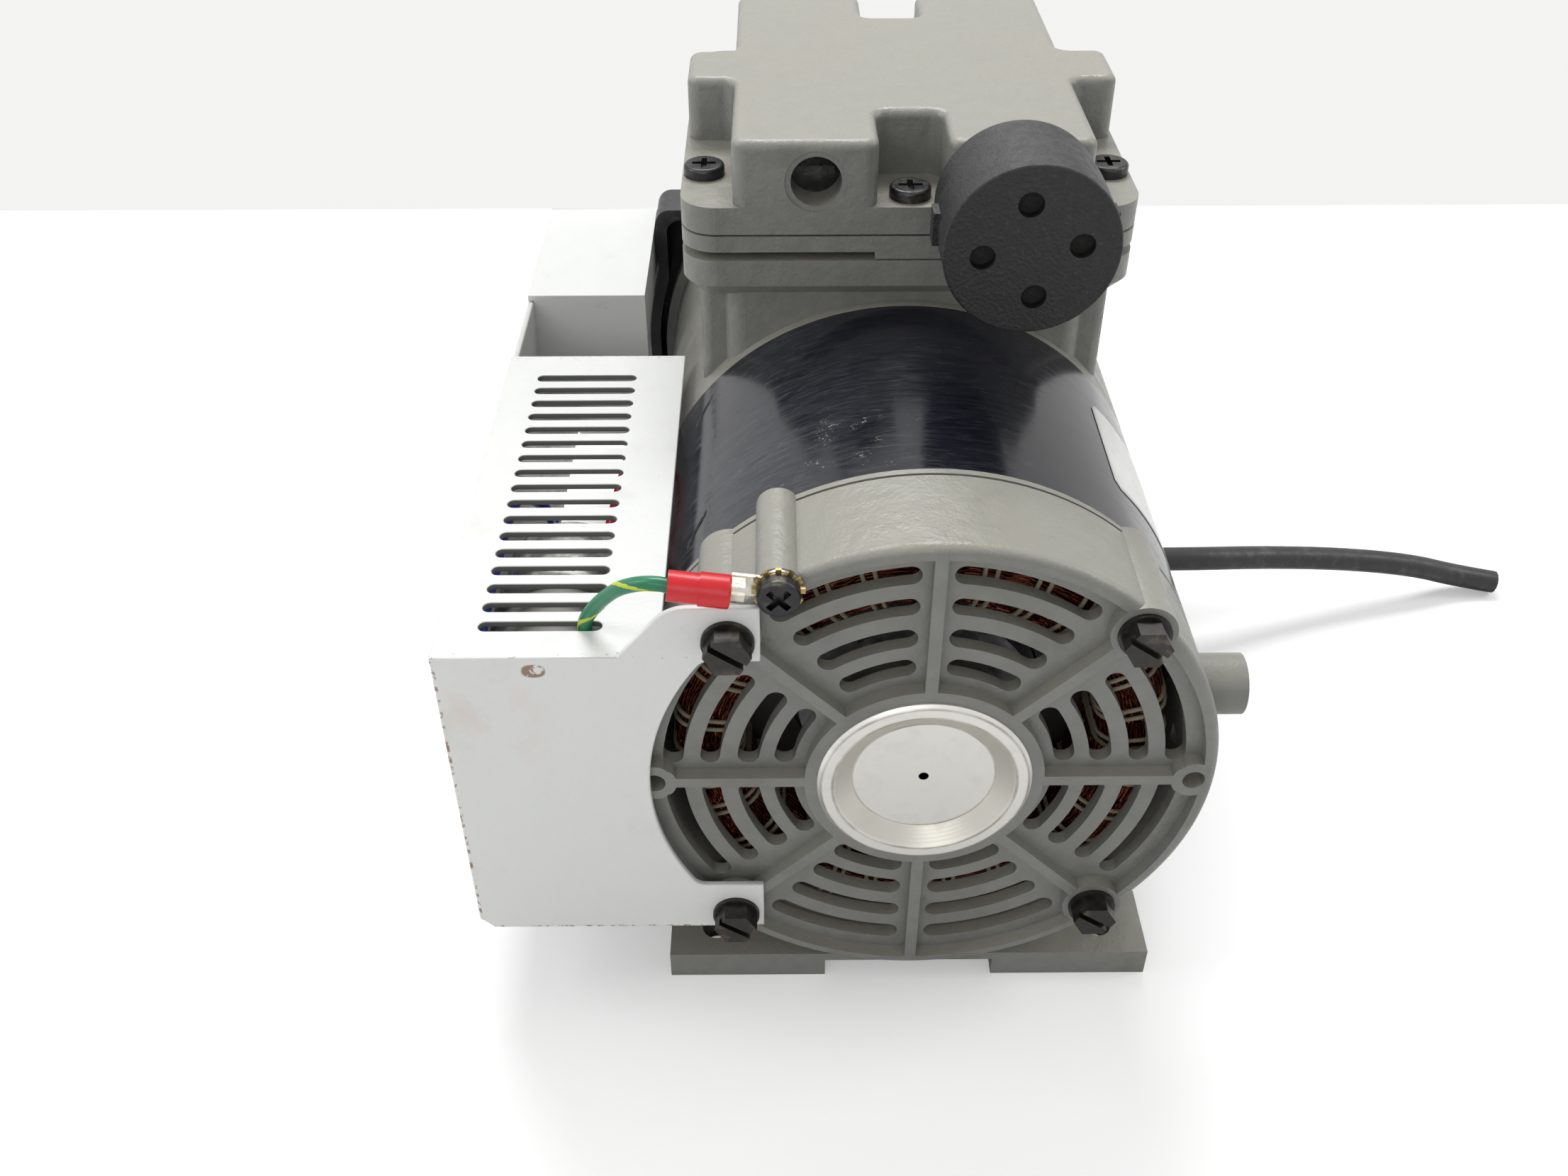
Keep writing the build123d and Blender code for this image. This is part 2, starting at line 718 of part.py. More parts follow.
# ------------------------------------------------------------------ connecting rod with recessed shank
ring_outer = rod_bearing_radius + rod_ring_wall
shank_bottom = rod_bearing_radius
shank_top = rod_top - pin_height - rod_pad_thickness
with BuildPart() as connecting_rod:
    with BuildSketch(across(rod_y - rod_width / 2, pin_height)):
        Circle(ring_outer)
        with BuildLine():
            Polyline(
                (-shank_foot_width / 2, shank_bottom),
                (shank_foot_width / 2, shank_bottom),
                (shank_top_width / 2, shank_top + rod_pad_thickness / 2),
                (-shank_top_width / 2, shank_top + rod_pad_thickness / 2),
                close=True,
            )
        make_face()
        Circle(rod_bearing_radius + fit, mode=Mode.SUBTRACT)
    extrude(amount=-rod_width)
    with BuildSketch(Plane((0, rod_y, rod_top - rod_pad_thickness))):
        Circle(rod_pad_radius)
    extrude(amount=rod_pad_thickness)
    for pocket_y in (rod_y - rod_width / 2, rod_y + rod_width / 2 - rod_pocket_depth):
        with BuildSketch(across(pocket_y, pin_height)):
            with BuildLine():
                Polyline(
                    (-shank_foot_width / 2 + rod_pocket_edge, ring_outer + rod_pocket_edge),
                    (shank_foot_width / 2 - rod_pocket_edge, ring_outer + rod_pocket_edge),
                    (shank_top_width / 2 - rod_pocket_edge + 0.5, shank_top - rod_pocket_edge),
                    (-shank_top_width / 2 + rod_pocket_edge - 0.5, shank_top - rod_pocket_edge),
                    close=True,
                )
            make_face()
        extrude(amount=-rod_pocket_depth, mode=Mode.SUBTRACT)
    with Locations((0, rod_y, rod_top)):
        Hole(clamp_screw_radius + fit, depth=clamp_screw_length - clamp_plate_thickness - clamp_washer_thickness)
connecting_rod.part.label = "connecting_rod"
export_step(connecting_rod.part, "parts/connecting_rod.step")

# ------------------------------------------------------------------ diaphragm and its clamp
with BuildPart() as clamp_washer:
    with BuildSketch(Plane((0, rod_y, rod_top))):
        Circle(clamp_radius)
        Circle(clamp_screw_radius + fit, mode=Mode.SUBTRACT)
    extrude(amount=clamp_washer_thickness)
    fillet(clamp_washer.edges().filter_by(GeomType.CIRCLE).sort_by(SortBy.RADIUS)[-2:], clamp_edge_round)
clamp_washer.part.label = "clamp_washer"
export_step(clamp_washer.part, "parts/clamp_washer.step")

with BuildPart() as clamp_plate:
    with BuildSketch(Plane((0, rod_y, web_top))):
        Circle(clamp_radius)
        Circle(clamp_screw_radius + fit, mode=Mode.SUBTRACT)
    extrude(amount=clamp_plate_thickness)
    fillet(clamp_plate.edges().filter_by(GeomType.CIRCLE).sort_by(SortBy.RADIUS)[-2:], clamp_edge_round)
    with BuildSketch(Plane((0, rod_y, clamp_top))):
        Circle(clamp_screw_head + fit)
    with BuildSketch(Plane((0, rod_y, web_top))):
        Circle(clamp_screw_radius + fit)
    loft(mode=Mode.SUBTRACT)
clamp_plate.part.label = "clamp_plate"
export_step(clamp_plate.part, "parts/clamp_plate.step")

with BuildPart() as clamp_screw:
    with BuildSketch(Plane((0, rod_y, clamp_top - clamp_screw_length))):
        Circle(clamp_screw_radius)
    extrude(amount=clamp_screw_length - clamp_plate_thickness)
    with BuildSketch(Plane((0, rod_y, web_top))):
        Circle(clamp_screw_radius)
    with BuildSketch(Plane((0, rod_y, clamp_top))):
        Circle(clamp_screw_head)
    loft()
    with BuildSketch(Plane((0, rod_y, clamp_top))):
        RegularPolygon(clamp_socket_radius, 6)
    extrude(amount=-clamp_socket_depth, mode=Mode.SUBTRACT)
clamp_screw.part.label = "clamp_screw"
export_step(clamp_screw.part, "parts/clamp_screw.step")

with BuildPart() as diaphragm:
    with BuildSketch(Plane((0, rod_y, 0), x_dir=(1, 0, 0), z_dir=(0, -1, 0))):
        with BuildLine():
            sag = (chamber_radius + clamp_radius) / 2
            Line((clamp_screw_radius + fit, web_top), (clamp_radius + 1, web_top))
            ThreePointArc((clamp_radius + 1, web_top), (sag + 2.2, web_top + 0.6), (chamber_radius, plate_bottom))
            Line((chamber_radius, plate_bottom), (diaphragm_radius, plate_bottom))
            Line((diaphragm_radius, plate_bottom), (diaphragm_radius, deck_height))
            Line((diaphragm_radius, deck_height), (chamber_radius, deck_height))
            ThreePointArc((chamber_radius, deck_height), (sag + 2.6, web_bottom + 0.4), (clamp_radius + 1, web_bottom))
            Line((clamp_radius + 1, web_bottom), (clamp_screw_radius + fit, web_bottom))
            Line((clamp_screw_radius + fit, web_bottom), (clamp_screw_radius + fit, web_top))
        make_face()
    revolve(axis=Axis((0, rod_y, 0), (0, 0, 1)))
diaphragm.part.label = "diaphragm"
export_step(diaphragm.part, "parts/diaphragm.step")

# ------------------------------------------------------------------ valve plate with its reeds
with BuildPart() as valve_plate:
    with BuildSketch(Plane((0, rod_y, plate_bottom))):
        RectangleRounded(head_width, head_length, head_corner)
    extrude(amount=valve_plate_thickness)
    with BuildSketch(Plane((0, head_front_y, plate_bottom - plate_lip_drop))):
        with Locations((plate_lip_start, 0)):
            Rectangle(
                head_width / 2 - head_corner - plate_lip_start, plate_lip_width, align=(Align.MIN, Align.MIN)
            )
    extrude(amount=plate_lip_drop)
    with BuildSketch(Plane((0, rod_y, plate_bottom))):
        Circle(chamber_radius)
    extrude(amount=valve_recess, mode=Mode.SUBTRACT)
    with BuildSketch(Plane((0, rod_y, plate_bottom))):
        for port_side in (-reed_x, reed_x):
            for port_y in (reed_length / 4 - valve_port_pitch / 2, reed_length / 4 + valve_port_pitch / 2):
                with Locations((port_side, port_y)):
                    Circle(valve_port_radius)
        with Locations(*head_screws_xy):
            Circle(head_screw_radius + bolt_clearance)
    extrude(amount=valve_plate_thickness, mode=Mode.SUBTRACT)
valve_plate.part.label = "valve_plate"
export_step(valve_plate.part, "parts/valve_plate.step")

reed_root_y = rod_y + reed_root_offset


def reed(middle_x, bottom):
    """Flexing part of a flat steel reed, from its clamped edge to the free end."""
    with BuildPart() as leaf:
        with BuildSketch(Plane((middle_x, reed_root_y, bottom))):
            Rectangle(reed_width, reed_length - reed_width / 2, align=(Align.CENTER, Align.MIN))
            with Locations((0, reed_length - reed_width / 2)):
                Circle(reed_width / 2)
        extrude(amount=reed_thickness)
    return leaf


intake_reed = reed(reed_x, valve_ceiling - reed_thickness)
intake_reed.part.label = "intake_reed"
export_step(intake_reed.part, "parts/intake_reed.step")

exhaust_reed = reed(-reed_x, plate_top)
exhaust_reed.part.label = "exhaust_reed"
export_step(exhaust_reed.part, "parts/exhaust_reed.step")

keeper_start_y = reed_root_y - reed_gap - keeper_length
stop_rise = reed_length * tan(radians(reed_stop_angle))
with BuildPart() as reed_keepers:
    with BuildSketch(Plane((reed_x, keeper_start_y, valve_ceiling))):
        Rectangle(reed_width, keeper_length, align=(Align.CENTER, Align.MIN))
    extrude(amount=-keeper_thickness)
    with BuildSketch(Plane(origin=(-reed_x - reed_width / 2, reed_root_y, plate_top), x_dir=(0, 1, 0), z_dir=(1, 0, 0))):
        with BuildLine():
            Polyline(
                (-reed_gap - keeper_length, 0),
                (-reed_gap, 0),
                (-reed_gap, keeper_thickness),
                (reed_length, keeper_thickness + stop_rise),
                (reed_length, 2 * keeper_thickness + stop_rise),
                (-reed_gap - keeper_length, 2 * keeper_thickness),
                close=True,
            )
        make_face()
    extrude(amount=reed_width)
reed_keepers.part.label = "reed_keepers"
export_step(reed_keepers.part, "parts/reed_keepers.step")

# ------------------------------------------------------------------ head gasket and head
with BuildPart() as head_gasket:
    with BuildSketch(Plane((0, rod_y, plate_top))):
        RectangleRounded(head_width - 1, head_length - 1, head_corner)
        with Locations((-head_chamber_x, 0), (head_chamber_x, 0)):
            Rectangle(head_chamber_width, head_chamber_length, mode=Mode.SUBTRACT)
        with Locations(*head_screws_xy):
            Circle(head_screw_radius + bolt_clearance, mode=Mode.SUBTRACT)
    extrude(amount=gasket_thickness)
head_gasket.part.label = "head_gasket"
export_step(head_gasket.part, "parts/head_gasket.step")

with BuildPart() as head_cover:
    with BuildSketch(Plane((0, rod_y, head_bottom))):
        RectangleRounded(head_width, head_length, head_corner)
    extrude(amount=head_flange_height)
    with BuildSketch(Plane((0, rod_y, head_bottom))):
        Rectangle(block_width, head_length)
        with Locations((0, side_port_boss_offset)):
            Rectangle(side_port_boss_width, side_port_boss_length)
        with Locations((0, pocket_length / 2 - head_length / 2), (0, head_length / 2 - pocket_length / 2)):
            Rectangle(pocket_width, pocket_length, mode=Mode.SUBTRACT)
        fillet(vertices(), block_corner)
    extrude(amount=head_height)
    fillet(head_cover.faces().sort_by(Axis.Z)[-1].edges(), head_edge_round)
    # one chamber on each side, with its front port; the left one has a rear port too
    with BuildSketch(Plane((0, rod_y, head_bottom))):
        with Locations((-head_chamber_x, 0), (head_chamber_x, 0)):
            RectangleRounded(head_chamber_width, head_chamber_length, block_corner)
    extrude(amount=head_chamber_height, mode=Mode.SUBTRACT)
    port_wall = (head_length - head_chamber_length) / 2
    with BuildSketch(across(head_front_y, port_height)):
        with Locations((-port_x, 0), (port_x, 0)):
            Circle(port_radius)
    extrude(amount=-port_wall, mode=Mode.SUBTRACT)
    with BuildSketch(across(head_front_y, port_height)):
        with Locations((-port_x, 0), (port_x, 0)):
            Circle(port_face_radius)
    extrude(amount=-port_face_depth, mode=Mode.SUBTRACT)
    with BuildSketch(across(head_rear_y, port_height)):
        with Locations((-port_x, 0)):
            Circle(port_radius)
    extrude(amount=port_wall, mode=Mode.SUBTRACT)
    with BuildSketch(across(head_rear_y, port_height)):
        with Locations((-port_x, 0), (port_x, 0)):
            Circle(port_face_radius)
    extrude(amount=port_face_depth, mode=Mode.SUBTRACT)
    # undrilled side ports keep their spot faces
    for side in (-1, 1):
        face_x = side * side_port_boss_width / 2
        with BuildSketch(sideways(face_x, rod_y + side_port_boss_offset, port_height)):
            Circle(port_face_radius)
        extrude(amount=-side * port_face_depth, mode=Mode.SUBTRACT)
    with Locations(*[(x, rod_y + y, shoulder_top) for x, y in head_screws_xy]):
        Hole(head_screw_radius + bolt_clearance, depth=head_flange_height)
head_cover.part.label = "head_cover"
export_step(head_cover.part, "parts/head_cover.step")

with BuildPart() as head_screws:
    with BuildSketch(Plane((0, rod_y, shoulder_top - head_screw_length))):
        with Locations(*head_screws_xy):
            Circle(head_screw_radius)
    extrude(amount=head_screw_length)
    with BuildSketch(Plane((0, rod_y, shoulder_top))):
        with Locations(*head_screws_xy):
            Circle(pan_head_radius)
    extrude(amount=pan_head_height)
    fillet(head_screws.edges().filter_by(GeomType.CIRCLE).group_by(Axis.Z)[-1], pan_head_height / 3)
    with BuildSketch(Plane((0, rod_y, shoulder_top + pan_head_height))):
        with Locations(*head_screws_xy):
            Rectangle(cross_length, cross_width)
            Rectangle(cross_width, cross_length)
    extrude(amount=-cross_depth, mode=Mode.SUBTRACT)
head_screws.part.label = "head_screws"
export_step(head_screws.part, "parts/head_screws.step")

# ------------------------------------------------------------------ crankcase
neck_middle_y = shell_rear_y + neck_front_inset + neck_length / 2
vent_radius = (vent_inner_radius + vent_outer_radius) / 2
with BuildPart() as crankcase:
    with BuildSketch(Plane((0, rod_y, deck_flange_bottom))):
        RectangleRounded(head_width, head_length, head_corner)
    extrude(amount=deck_flange_thickness)
    chamfer(crankcase.faces().sort_by(Axis.Z)[0].edges(), deck_flange_taper)
    with BuildSketch(across(shell_rear_y)):
        Circle(bell_radius)
    extrude(amount=-crankcase_length)
    with BuildSketch(across(crankcase_rear_y)):
        Circle(rear_flange_radius)
    extrude(amount=rear_flange_thickness)
    # neck and corner pillars up to the deck flange
    with BuildSketch(Plane((0, neck_middle_y, axis_height))):
        RectangleRounded(neck_width, neck_length, neck_corner)
    extrude(amount=deck_flange_bottom - axis_height + deck_flange_taper)
    with BuildSketch(Plane((0, neck_middle_y, axis_height))):
        with GridLocations(0, neck_length - pillar_length - 2 * pillar_inset, 1, 2):
            RectangleRounded(pillar_width, pillar_length, neck_corner / 2)
    extrude(amount=deck_flange_bottom - axis_height)
    # rear foot
    with BuildSketch(across(foot_pitch_y / 2 - rear_foot_lead, 0)):
        Rectangle(foot_width, foot_thickness, align=(Align.CENTER, Align.MIN))
        Rectangle(notch_width, notch_height, align=(Align.CENTER, Align.MIN), mode=Mode.SUBTRACT)
    extrude(amount=-foot_length)
    with BuildSketch(across(foot_pitch_y / 2 - rear_foot_lead, foot_web_lift)):
        Rectangle(foot_web_width, foot_web_rise, align=(Align.CENTER, Align.MIN))
    extrude(amount=-foot_web_thickness)
    # gland boss on the right
    with BuildSketch(sideways(bell_radius / 2, shell_rear_y + gland_depth, gland_height)):
        Circle(gland_boss_radius)
    extrude(amount=gland_boss_face - bell_radius / 2)
    # cooling air passes between the outer wall and the crank chamber
    with BuildSketch(across(shell_rear_y + motor_plate)):
        Circle(bell_radius - crankcase_wall)
        Circle(crank_chamber_radius + crank_chamber_wall, mode=Mode.SUBTRACT)
        with Locations((0, bell_radius / 2)):
            Rectangle(neck_width, bell_radius, mode=Mode.SUBTRACT)
        with Locations(*bolt_corners):
            Circle(bolt_boss_radius, mode=Mode.SUBTRACT)
    extrude(amount=-crankcase_length, mode=Mode.SUBTRACT)
    # crank chamber, piston opening and bearing bores
    with BuildSketch(across(crank_chamber_front_y)):
        Circle(crank_chamber_radius)
    extrude(amount=-crank_chamber_length, mode=Mode.SUBTRACT)
    with BuildSketch(Plane((0, rod_y, axis_height))):
        Circle(chamber_radius)
    extrude(amount=deck_height - axis_height, mode=Mode.SUBTRACT)
    with BuildSketch(across(shell_rear_y)):
        Circle(rear_bearing_radius + fit)
    extrude(amount=-(crank_chamber_front_y - bearing_stop - shell_rear_y), mode=Mode.SUBTRACT)
    with BuildSketch(across(shell_rear_y)):
        Circle(rear_bearing_radius - bearing_lip)
    extrude(amount=-(crank_chamber_setback + crank_chamber_length / 2), mode=Mode.SUBTRACT)
    with BuildSketch(across(tail_bearing_y)):
        Circle(tail_bearing_radius + fit)
    extrude(amount=-crankcase_length, mode=Mode.SUBTRACT)
    with BuildSketch(across(crank_chamber_rear_y - bearing_stop)):
        Circle(tail_bearing_radius - bearing_lip)
    extrude(amount=-crankcase_length, mode=Mode.SUBTRACT)
    # air windows in the motor plate, left, right and below
    with BuildSketch(across(shell_rear_y)):
        for middle in (0, 180, 270):
            SlotArc(
                arc_between(vent_radius, middle - vent_half_angle, middle + vent_half_angle),
                vent_outer_radius - vent_inner_radius,
            )
    extrude(amount=-motor_plate, mode=Mode.SUBTRACT)
    # threaded holes for the through-bolts, fan cover screws and head screws
    with BuildSketch(across(shell_rear_y)):
        with Locations(*bolt_corners):
            Circle(bolt_shank_radius + fit)
    extrude(amount=-bolt_boss_length, mode=Mode.SUBTRACT)
    with BuildSketch(across(crankcase_rear_y)):
        with Locations(*bolt_corners):
            Circle(cover_screw_radius + fit)
    extrude(amount=cover_screw_grip + 1, mode=Mode.SUBTRACT)
    with Locations(*[(x, rod_y + y, deck_height) for x, y in head_screws_xy]):
        Hole(head_screw_radius + fit, depth=deck_height - (shoulder_top - head_screw_length) + fit)
    with Locations(*[(side * foot_pitch_x / 2, foot_pitch_y / 2, foot_thickness) for side in (-1, 1)]):
        Hole(foot_hole_radius, depth=foot_thickness)
    # cord gland bore on the right and lead grommet hole on the left
    with BuildSketch(sideways(gland_boss_face, shell_rear_y + gland_depth, gland_height)):
        Circle(gland_thread_radius + fit)
    extrude(amount=-gland_boss_face / 2, mode=Mode.SUBTRACT)
    with BuildSketch(sideways(-crank_chamber_radius - crank_chamber_wall, grommet_y, grommet_height)):
        Circle(grommet_radius + fit)
    extrude(amount=-bell_radius / 2, mode=Mode.SUBTRACT)
crankcase.part.label = "crankcase"
export_step(crankcase.part, "parts/crankcase.step")

# ------------------------------------------------------------------ through-bolts: slotted hex washer heads
left_seat_y = bell_face_y - sheet
with BuildPart() as through_bolts:
    for x, z in bolt_corners:
        seat_y = left_seat_y if x < 0 else bell_face_y
        with BuildSketch(across(seat_y)):
            with Locations((x, z)):
                Circle(bolt_shank_radius)
        extrude(amount=-(shell_rear_y + bolt_engagement - seat_y))
        with BuildSketch(across(seat_y)):
            with Locations((x, z)):
                Circle(bolt_washer_radius)
        extrude(amount=bolt_washer_thickness)
        with BuildSketch(across(seat_y - bolt_washer_thickness)):
            with Locations((x, z)):
                RegularPolygon(bolt_hex_flats / 2, 6, major_radius=False)
        extrude(amount=bolt_hex_height)
        with BuildSketch(across(seat_y - bolt_washer_thickness - bolt_hex_height)):
            with Locations((x, z)):
                Rectangle(2 * bolt_washer_radius, bolt_slot_width, rotation=-35)
        extrude(amount=-bolt_slot_depth, mode=Mode.SUBTRACT)
through_bolts.part.label = "through_bolts"
export_step(through_bolts.part, "parts/through_bolts.step")

# ------------------------------------------------------------------ cooling fan
with BuildPart() as cooling_fan:
    with BuildSketch(across(fan_front_y)):
        Circle(fan_radius)
    extrude(amount=-fan_plate_thickness)
    with BuildSketch(across(fan_front_y + fan_plate_thickness)):
        Circle(fan_hub_radius)
        with PolarLocations((fan_radius + fan_hub_radius) / 2, fan_blade_count):
            Rectangle(fan_radius - fan_hub_radius - 2, fan_blade_width, rotation=fan_blade_lean)
    extrude(amount=-fan_blade_height)
    with BuildSketch(across(fan_front_y)):
        Circle(crank_seat_radius + fit)
    extrude(amount=-(fan_plate_thickness + fan_blade_height), mode=Mode.SUBTRACT)
cooling_fan.part.label = "cooling_fan"
export_step(cooling_fan.part, "parts/cooling_fan.step")


def cover_outline(shrink):
    """Fan cover along the shaft: a round with two square shoulders, flat above and below, shrunk all round."""
    with BuildSketch() as outline:
        Circle(cover_radius - shrink)
        with Locations((0, (cover_shoulder_top + cover_shoulder_bottom) / 2 - axis_height)):
            RectangleRounded(
                cover_shoulder_width - 2 * shrink,
                cover_shoulder_top - cover_shoulder_bottom - 2 * shrink,
                cover_shoulder_round,
            )
        with Locations((0, deck_flange_bottom - cover_top_gap - shrink - axis_height)):
            Rectangle(3 * cover_radius, cover_radius, align=(Align.CENTER, Align.MIN), mode=Mode.SUBTRACT)
        with Locations((0, cover_floor_gap + shrink - axis_height)):
            Rectangle(3 * cover_radius, cover_radius, align=(Align.CENTER, Align.MAX), mode=Mode.SUBTRACT)
    return outline.sketch


# ------------------------------------------------------------------ fan cover with its rear grille
with BuildPart() as fan_cover:
    with BuildSketch(across(crankcase_rear_y - cover_skirt)):
        add(cover_outline(0))
    extrude(amount=-(cover_skirt + cover_depth))
    fillet(fan_cover.faces().sort_by(Axis.Y)[-1].edges(), cover_back)
    with BuildSketch(across(crankcase_rear_y - cover_skirt)):
        add(cover_outline(cover_wall))
    extrude(amount=-(cover_skirt + cover_depth - cover_back), mode=Mode.SUBTRACT)
    with BuildSketch(across(crankcase_rear_y - cover_skirt)):
        Circle(rear_flange_radius + cover_flange_gap)
    extrude(amount=-cover_skirt, mode=Mode.SUBTRACT)
    with BuildSketch(across(crankcase_rear_y)):
        with Locations(*bolt_corners):
            Circle(cover_column_radius)
    extrude(amount=-cover_depth)
    with BuildSketch(across(cover_back_y)):
        with Locations(*bolt_corners):
            Circle(cover_screw_radius + bolt_clearance)
    extrude(amount=cover_depth, mode=Mode.SUBTRACT)
    with BuildSketch(across(cover_back_y)):
        for ring_radius, slot_width in grille_rings:
            gap_angle = degrees((slot_width + grille_spoke) / 2 / ring_radius)
            for sector in range(grille_sectors):
                start = sector * 360 / grille_sectors
                SlotArc(arc_between(ring_radius, start + gap_angle, start + 360 / grille_sectors - gap_angle), slot_width)
    extrude(amount=cover_back, mode=Mode.SUBTRACT)
fan_cover.part.label = "fan_cover"
export_step(fan_cover.part, "parts/fan_cover.step")

with BuildPart() as cover_screws:
    for x, z in bolt_corners:
        seat_y = cover_back_y + sheet if x < 0 else cover_back_y
        with BuildSketch(across(crankcase_rear_y - cover_screw_grip)):
            with Locations((x, z)):
                Circle(cover_screw_radius)
        extrude(amount=-(seat_y - crankcase_rear_y + cover_screw_grip))
        with BuildSketch(across(seat_y)):
            with Locations((x, z)):
                Circle(ground_head_radius)
        extrude(amount=-ground_head_height)
        with BuildSketch(across(seat_y + ground_head_height)):
            with Locations((x, z)):
                Rectangle(cross_length, cross_width)
                Rectangle(cross_width, cross_length)
        extrude(amount=cross_depth, mode=Mode.SUBTRACT)
cover_screws.part.label = "cover_screws"
export_step(cover_screws.part, "parts/cover_screws.step")


def end_plate_outline():
    """Bracket end plate seen from the bell: tabs to the two left bolts round a circular cut-out."""
    with BuildSketch() as outline:
        with BuildLine():
            Polyline(
                (bracket_left, bracket_bottom + bracket_bottom_chamfer - axis_height),
                (bracket_left, bracket_top - axis_height),
                (tab_slope_foot, bracket_top - axis_height),
                (tab_slope_top, upper_tab_top - axis_height),
                (tab_end, upper_tab_top - axis_height),
                (tab_end, bracket_bottom - axis_height),
                (bracket_left + bracket_bottom_chamfer, bracket_bottom - axis_height),
                close=True,
            )
        make_face()
        fillet(vertices().group_by(Axis.Y)[-1].sort_by(Axis.X)[0], tab_round)
        Circle(plate_cutout_radius, mode=Mode.SUBTRACT)
        # the tabs end square, clear of the round
        with Locations((tab_end, (upper_tab_bottom + lower_tab_top) / 2 - axis_height)):
            Rectangle(
                half_square + tab_end + 2 * bolt_washer_radius,
                upper_tab_bottom - lower_tab_top,
                align=(Align.MAX, Align.CENTER),
                mode=Mode.SUBTRACT,
            )
        with Locations((-half_square, half_square), (-half_square, -half_square)):
            Circle(bolt_shank_radius + bolt_clearance, mode=Mode.SUBTRACT)
    return outline.sketch


# ------------------------------------------------------------------ bracket folded from one sheet
with BuildPart() as bracket:
    with BuildSketch(across(bell_face_y - sheet)):
        add(end_plate_outline())
    extrude(amount=-sheet)
    with BuildSketch(across(cover_back_y)):
        add(end_plate_outline())
    extrude(amount=-sheet)
    # left wall, between the two end plates
    with BuildSketch(sideways(bracket_left, 0, 0)):
        with Locations((bell_face_y, bracket_bottom + bracket_bottom_chamfer)):
            Rectangle(
                cover_back_y - bell_face_y,
                bracket_top - sheet - bracket_bottom - bracket_bottom_chamfer,
                align=(Align.MIN, Align.MIN),
            )
    extrude(amount=sheet)
    # slotted deck over the capacitor
    with BuildSketch(Plane((0, bell_face_y, bracket_top - sheet))):
        with Locations((bracket_left, 0)):
            Rectangle(deck_right - bracket_left, deck_length, align=(Align.MIN, Align.MIN))
        slot_middle = (vent_slot_left + vent_slot_right) / 2
        slot_steps = [vent_slot_first + index * vent_slot_pitch for index in range(vent_slot_count)]
        with Locations(*[(slot_middle, step) for step in slot_steps]):
            SlotOverall(vent_slot_right - vent_slot_left, vent_slot_width, mode=Mode.SUBTRACT)
    extrude(amount=sheet)
bracket.part.label = "bracket"
export_step(bracket.part, "parts/bracket.step")

# ------------------------------------------------------------------ rear box, a folded cover over the splices
box_front_y = bell_face_y + box_front
with BuildPart() as rear_box:
    with BuildSketch(Plane((0, box_front_y, bracket_top - sheet))):
        with Locations((bracket_left, 0)):
            Rectangle(box_right - bracket_left, cover_back_y - box_front_y, align=(Align.MIN, Align.MIN))
    extrude(amount=sheet)
    with BuildSketch(across(box_front_y, bracket_top)):
        with Locations((bracket_left + sheet, 0)):
            Rectangle(box_right - bracket_left - sheet, box_front_drop, align=(Align.MIN, Align.MAX))
    extrude(amount=-sheet)
    with BuildSketch(sideways(box_right, box_front_y, bracket_top)):
        Rectangle(cover_back_y - box_front_y - cover_back, box_right_drop, align=(Align.MIN, Align.MAX))
    extrude(amount=-sheet)
    with BuildSketch(sideways(bracket_left + sheet, box_front_y, bracket_top)):
        Rectangle(cover_back_y - box_front_y - cover_back, box_left_drop, align=(Align.MIN, Align.MAX))
    extrude(amount=sheet)
rear_box.part.label = "rear_box"
export_step(rear_box.part, "parts/rear_box.step")

# ------------------------------------------------------------------ run capacitor and its clamp
capacitor_front_y = bell_face_y + capacitor_front
capacitor_rear_y = capacitor_front_y + capacitor_length
with BuildPart() as run_capacitor:
    with BuildSketch(across(capacitor_front_y, capacitor_height)):
        with Locations((capacitor_x, 0)):
            Circle(capacitor_radius)
    extrude(amount=-capacitor_length)
    fillet(run_capacitor.edges().filter_by(GeomType.CIRCLE), capacitor_edge)
    with BuildSketch(across(capacitor_rear_y, capacitor_height)):
        with Locations((capacitor_x, 0)):
            Circle(capacitor_radius - 2 * capacitor_bead_width)
    extrude(amount=-capacitor_bead)
    with BuildSketch(across(capacitor_rear_y, capacitor_height)):
        with Locations((capacitor_x - blade_offset, 0), (capacitor_x + blade_offset, 0)):
            Rectangle(blade_thickness, blade_width)
    extrude(amount=-(capacitor_bead + blade_length))
run_capacitor.part.label = "run_capacitor"
export_step(run_capacitor.part, "parts/run_capacitor.step")

clamp_band_outer = capacitor_radius + fit + clamp_band
with BuildPart() as capacitor_clamp:
    with BuildSketch(across(capacitor_front_y + clamp_band_setback, capacitor_height)):
        with Locations((capacitor_x, 0)):
            Circle(clamp_band_outer)
        with Locations((bracket_left + sheet, -clamp_band_outer)):
            Rectangle(capacitor_x - bracket_left - sheet, clamp_band, align=(Align.MIN, Align.MIN))
            Rectangle(clamp_band, clamp_foot_length + clamp_band, align=(Align.MIN, Align.MIN))
        with Locations((capacitor_x, 0)):
            Circle(capacitor_radius + fit, mode=Mode.SUBTRACT)
    extrude(amount=-clamp_band_width)
capacitor_clamp.part.label = "capacitor_clamp"
export_step(capacitor_clamp.part, "parts/capacitor_clamp.step")

# ------------------------------------------------------------------ ground terminal, screw and washer
tilt = radians(terminal_tilt)
terminal_plane = Plane(
    origin=(ground_screw_x, bell_face_y, axis_height + ground_screw_rise),
    x_dir=(cos(tilt), 0, -sin(tilt)),
    z_dir=(0, -1, 0),
)


